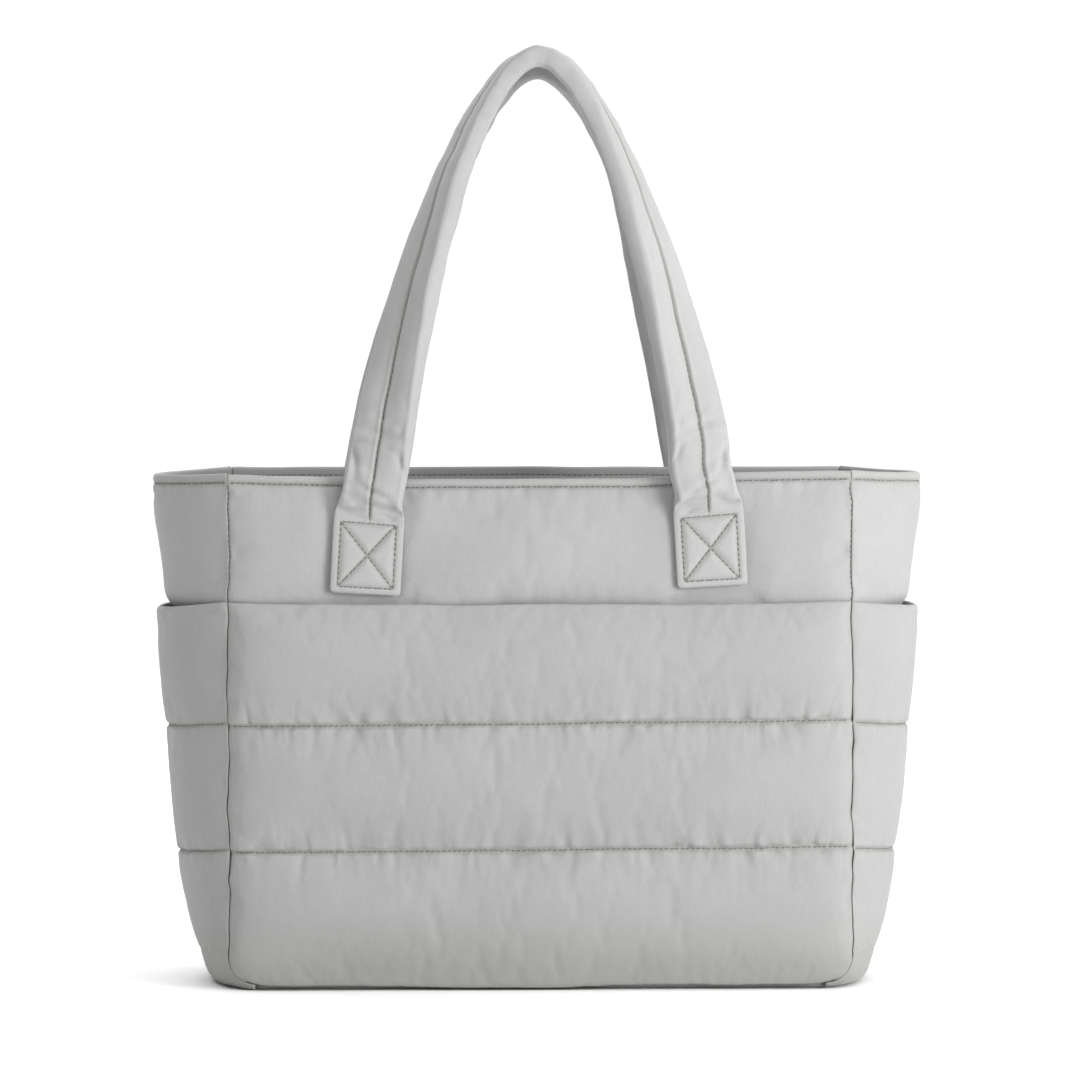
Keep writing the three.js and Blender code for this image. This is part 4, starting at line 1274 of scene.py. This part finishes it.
def wave(tree, vector, height, direction, **values):
    """The grey value of bands that run in a direction."""
    inputs = {"Vector": vector, **{name.replace("_", " "): value for name, value in values.items()}}
    node = add_node(tree, "ShaderNodeTexWave", (-900, height), inputs, bands_direction=direction)
    return node.outputs["Fac"]


def bumped(tree, relief, height, strength, distance, normal=None):
    """A normal bent by a relief, on top of another normal if there is one."""
    inputs = {"Height": relief, "Strength": strength, "Distance": distance}
    if normal is not None:
        inputs["Normal"] = normal
    return add_node(tree, "ShaderNodeBump", (-300, height), inputs).outputs["Normal"]


def mixed(tree, factor, first, second, blend_type="MIX"):
    """Two colours mixed by a factor."""
    inputs = {"Factor": factor, "A": first, "B": second}
    node = add_node(tree, "ShaderNodeMix", (-300, 500), inputs, data_type="RGBA", blend_type=blend_type)
    return node.outputs["Result"]


def product(tree, one, other):
    """Two numbers multiplied."""
    node = add_node(tree, "ShaderNodeMath", (-600, 200), {0: one, 1: other}, operation="MULTIPLY")
    return node.outputs["Value"]


def tinted(colour, share):
    """A colour times a share, as an opaque red, green, blue and alpha."""
    return (*[c * share for c in colour], 1)


def finished(name, **values):
    """A new material with values set on its shader's own sockets, its tree, and the shader."""
    material = bpy.data.materials.new(name)
    material.use_nodes = True
    shader = material.node_tree.nodes["Principled BSDF"]
    for socket, value in values.items():
        shader.inputs[socket.replace("_", " ")].default_value = value
    return material, material.node_tree, shader


print("half of a middle grey:", tinted((0.5, 0.5, 0.5), 0.5))

# %% [markdown]
# On the cloth, three bumps lie on top of each other: the crumple that remains in the hand, the
# uneven yarns, and the crossing threads. The colour starts from a slow change of tone, is darkened a
# little along the yarns, and goes over to a painted shade colour at seams, stitch rows and near the
# floor.


# %% Cloth material
def cloth_material(name, colour, painted_shade_colour, sheen=0.2, weave=0.00045):
    """A woven cloth with uneven yarns, slow tone changes and painted shade at seams, rows and foot."""
    material, tree, shader = finished(name, Roughness=0.82, Sheen_Weight=sheen, Sheen_Roughness=0.45,
                                      Specular_IOR_Level=0.25)
    uv = add_node(tree, "ShaderNodeUVMap", (-1300, 200), {}, uv_map="cloth").outputs["UV"]
    place = add_node(tree, "ShaderNodeTexCoord", (-1300, -700), {}).outputs["Object"]
    painted_shade = add_node(tree, "ShaderNodeAttribute", (-600, 700), {}, attribute_name="painted_shade").outputs["Fac"]
    stretch = add_node(tree, "ShaderNodeMapping", (-1100, -300), {"Vector": uv, "Scale": (1.0, 0.12, 1.0)})

    threads = {"Scale": 0.314 / weave, "Distortion": 0.6, "Detail": 1.0, "Detail_Scale": 0.2}
    warp, weft = wave(tree, uv, 300, "X", **threads), wave(tree, uv, 0, "Y", **threads)
    yarns = noise(tree, stretch.outputs["Vector"], -300, Scale=1500.0, Detail=2.0)
    crumple = noise(tree, place, -600, Scale=95.0, Detail=4.0, Roughness=0.55)
    slow = noise(tree, place, -900, Scale=14.0, Detail=5.0, Roughness=0.6)

    normal = bumped(tree, crumple, -400, 0.5, 0.0006)
    normal = bumped(tree, yarns, -100, 0.3, 0.0001, normal)
    normal = bumped(tree, product(tree, warp, weft), 200, 0.35, 0.00012, normal)
    tree.links.new(normal, shader.inputs["Normal"])

    shade = mixed(tree, slow, tinted(colour, 0.9), tinted(colour, 1.1))
    shade = mixed(tree, 0.14, shade, yarns, "MULTIPLY")
    # Painted shade: the colour goes over to a dark warm grey where the point attribute asks.
    shade = mixed(tree, product(tree, painted_shade, 0.55), shade, tinted(painted_shade_colour, 1))
    tree.links.new(shade, shader.inputs["Base Color"])
    return material


# One cloth in three tints: the pocket's is the shell's grey darkened as painted shade, and the strap's is
# lightened as painted light.
SHELL = (0.337, 0.341, 0.338)
POCKET_SHADED_GREY = (0.322, 0.326, 0.322)
STRAP_LIT_GREY = (0.366, 0.37, 0.366)
# A dark warm grey for the painted shade at seams, stitch rows and the foot.
PAINTED_SHADE_TONE = (0.235, 0.23, 0.205)
shell_cloth = cloth_material("shell_cloth", SHELL, PAINTED_SHADE_TONE)
pocket_cloth = cloth_material("pocket_cloth", POCKET_SHADED_GREY, PAINTED_SHADE_TONE)
strap_cloth = cloth_material("strap_cloth", STRAP_LIT_GREY, PAINTED_SHADE_TONE, sheen=0.25)
print("materials:", shell_cloth.name, pocket_cloth.name, strap_cloth.name)


# %% [markdown]
# Sewing thread is smoother and a little glossier than the cloth. Its twist is a fine slanted wave,
# and its tone changes a little from stitch to stitch, so that a row doesn't look printed on.


# %% Thread material
def thread_material(name, colour):
    """Twisted thread: a slanted wave as bump, and a slow change of tone from stitch to stitch."""
    material, tree, shader = finished(name, Roughness=0.55, Sheen_Weight=0.2)
    place = add_node(tree, "ShaderNodeTexCoord", (-1300, 0), {}).outputs["Object"]
    twist = wave(tree, place, 0, "DIAGONAL", Scale=900.0, Distortion=1.0)
    tone = noise(tree, place, -300, Scale=260.0, Detail=1.0)
    shade = mixed(tree, tone, tinted(colour, 0.85), tinted(colour, 1.12))
    tree.links.new(bumped(tree, twist, 0, 0.4, 0.0001), shader.inputs["Normal"])
    tree.links.new(shade, shader.inputs["Base Color"])
    return material


# The thread's dark grey is painted shade: the real thread is near the cloth's colour, and the dark stands
# in for the dimples it sits in.
thread = thread_material("thread", (0.12, 0.12, 0.115))
print("thread:", thread.name)

# %% [markdown]
# Each piece rides on the bag's one body and takes its material. The CAD parts that the cloth
# pieces replace are hidden.

# %% Dress the bag
cloths = {"shell_cloth": shell_cloth, "pocket_cloth": pocket_cloth, "strap_cloth": strap_cloth}
padded_pieces = [
    (front_panel, "front_panel", "shell_cloth", 0.35),
    (back_panel, "back_panel", "shell_cloth", 0.4),
    (base_panel, "base_panel", "shell_cloth", 0.2),
    (left_side[2], "gusset_left", "shell_cloth", 0.25),
    (right_side[2], "gusset_right", "shell_cloth", 0.25),
    (front_pocket, "front_pocket", "pocket_cloth", 0.45),
    (left_side[4], "side_pocket_left", "pocket_cloth", 0.3),
    (right_side[4], "side_pocket_right", "pocket_cloth", 0.3),
    (handle_front, "handle_front", "strap_cloth", 0.6),
    (handle_back, "handle_back", "strap_cloth", 0.6),
]
for piece, node, slot, fill in padded_pieces:
    piece.data.materials.append(cloths[slot])
    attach(piece, "root")
    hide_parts(node)
for piece in (pocket_thread, side_thread, back_thread, rim_thread, upright_thread, handle_thread):
    piece.data.materials.append(thread)
    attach(piece, "root")

# %% [markdown]
# The studio: a pale floor that runs far back, and a sky that is bright at the horizon and overhead
# and dark between, darker still on the left, so that the background stays white from every side
# while the bag's left side falls into soft grey. A low light near the front right corner grazes the
# cloth and brings out its folds, and a second one fills in the back.

# %% Studio
floor_mesh = bpy.data.meshes.new("floor")
floor_mesh.from_pydata([(-40, -40, 0), (40, -40, 0), (40, 40, 0), (-40, 40, 0)], [], [(0, 1, 2, 3)])
floor = bpy.data.objects.new("floor", floor_mesh)
bpy.context.scene.collection.objects.link(floor)
paper, _, paper_shader = finished("studio_floor", Roughness=0.9, Specular_IOR_Level=0.1)
paper_shader.inputs["Base Color"].default_value = (0.9, 0.9, 0.9, 1)
floor_mesh.materials.append(paper)

world = bpy.data.worlds.new("studio")
bpy.context.scene.world = world
world.use_nodes = True
sky = world.node_tree


def sky_ramp(stops):
    """Brightness by height above the horizon: (sine of the height, brightness) stops."""
    ramp = sky.nodes.new("ShaderNodeValToRGB")
    elements = ramp.color_ramp.elements
    for _ in stops[2:]:
        elements.new(0.5)
    for element, (position, bright) in zip(elements, stops):
        element.position, element.color = position, (bright, bright, bright, 1)
    return ramp


where = add_node(sky, "ShaderNodeTexCoord", (-1300, 0), {}).outputs["Generated"]
elevation = add_node(sky, "ShaderNodeSeparateXYZ", (-1100, 200), {"Vector": where}).outputs["Z"]
right = add_node(sky, "ShaderNodeVectorMath", (-1100, -200), {0: where, 1: (0.9, -0.05, 0.0)},
                 operation="DOT_PRODUCT").outputs["Value"]
sideways = add_node(sky, "ShaderNodeMapRange", (-900, -200),
                    {"Value": right, "From Min": -0.7, "From Max": 0.6})
sides = []
for middle in ([(0.14, 0.05), (0.5, 0.07)], [(0.17, 0.3), (0.5, 0.35)]):
    ramp = sky_ramp([(0.0, 0.55), (0.07, 0.55), *middle, (0.85, 1.0)])
    sky.links.new(elevation, ramp.inputs["Fac"])
    sides.append(ramp.outputs["Color"])
both = mixed(sky, sideways.outputs["Result"], *sides)
sky.links.new(both, sky.nodes["Background"].inputs["Color"])
sky.nodes["Background"].inputs["Strength"].default_value = 1.9


def soft_light(name, place, size, power, target=(0, 0, 0.2)):
    """A square light at a place in metres, turned towards the bag."""
    lamp = bpy.data.lights.new(name, "AREA")
    lamp.size, lamp.energy = size, power
    light = bpy.data.objects.new(name, lamp)
    bpy.context.scene.collection.objects.link(light)
    light.location = place
    light.visible_camera = False
    light.rotation_euler = (Vector(target) - Vector(place)).to_track_quat("-Z", "Y").to_euler()
    return light


soft_light("key", (1.05, -1.0, 0.45), 0.6, 18)
soft_light("back_fill", (-0.2, 2.1, 1.2), 1.5, 20)
bpy.context.scene.view_settings.view_transform = "Standard"
bpy.context.scene.view_settings.look = "None"
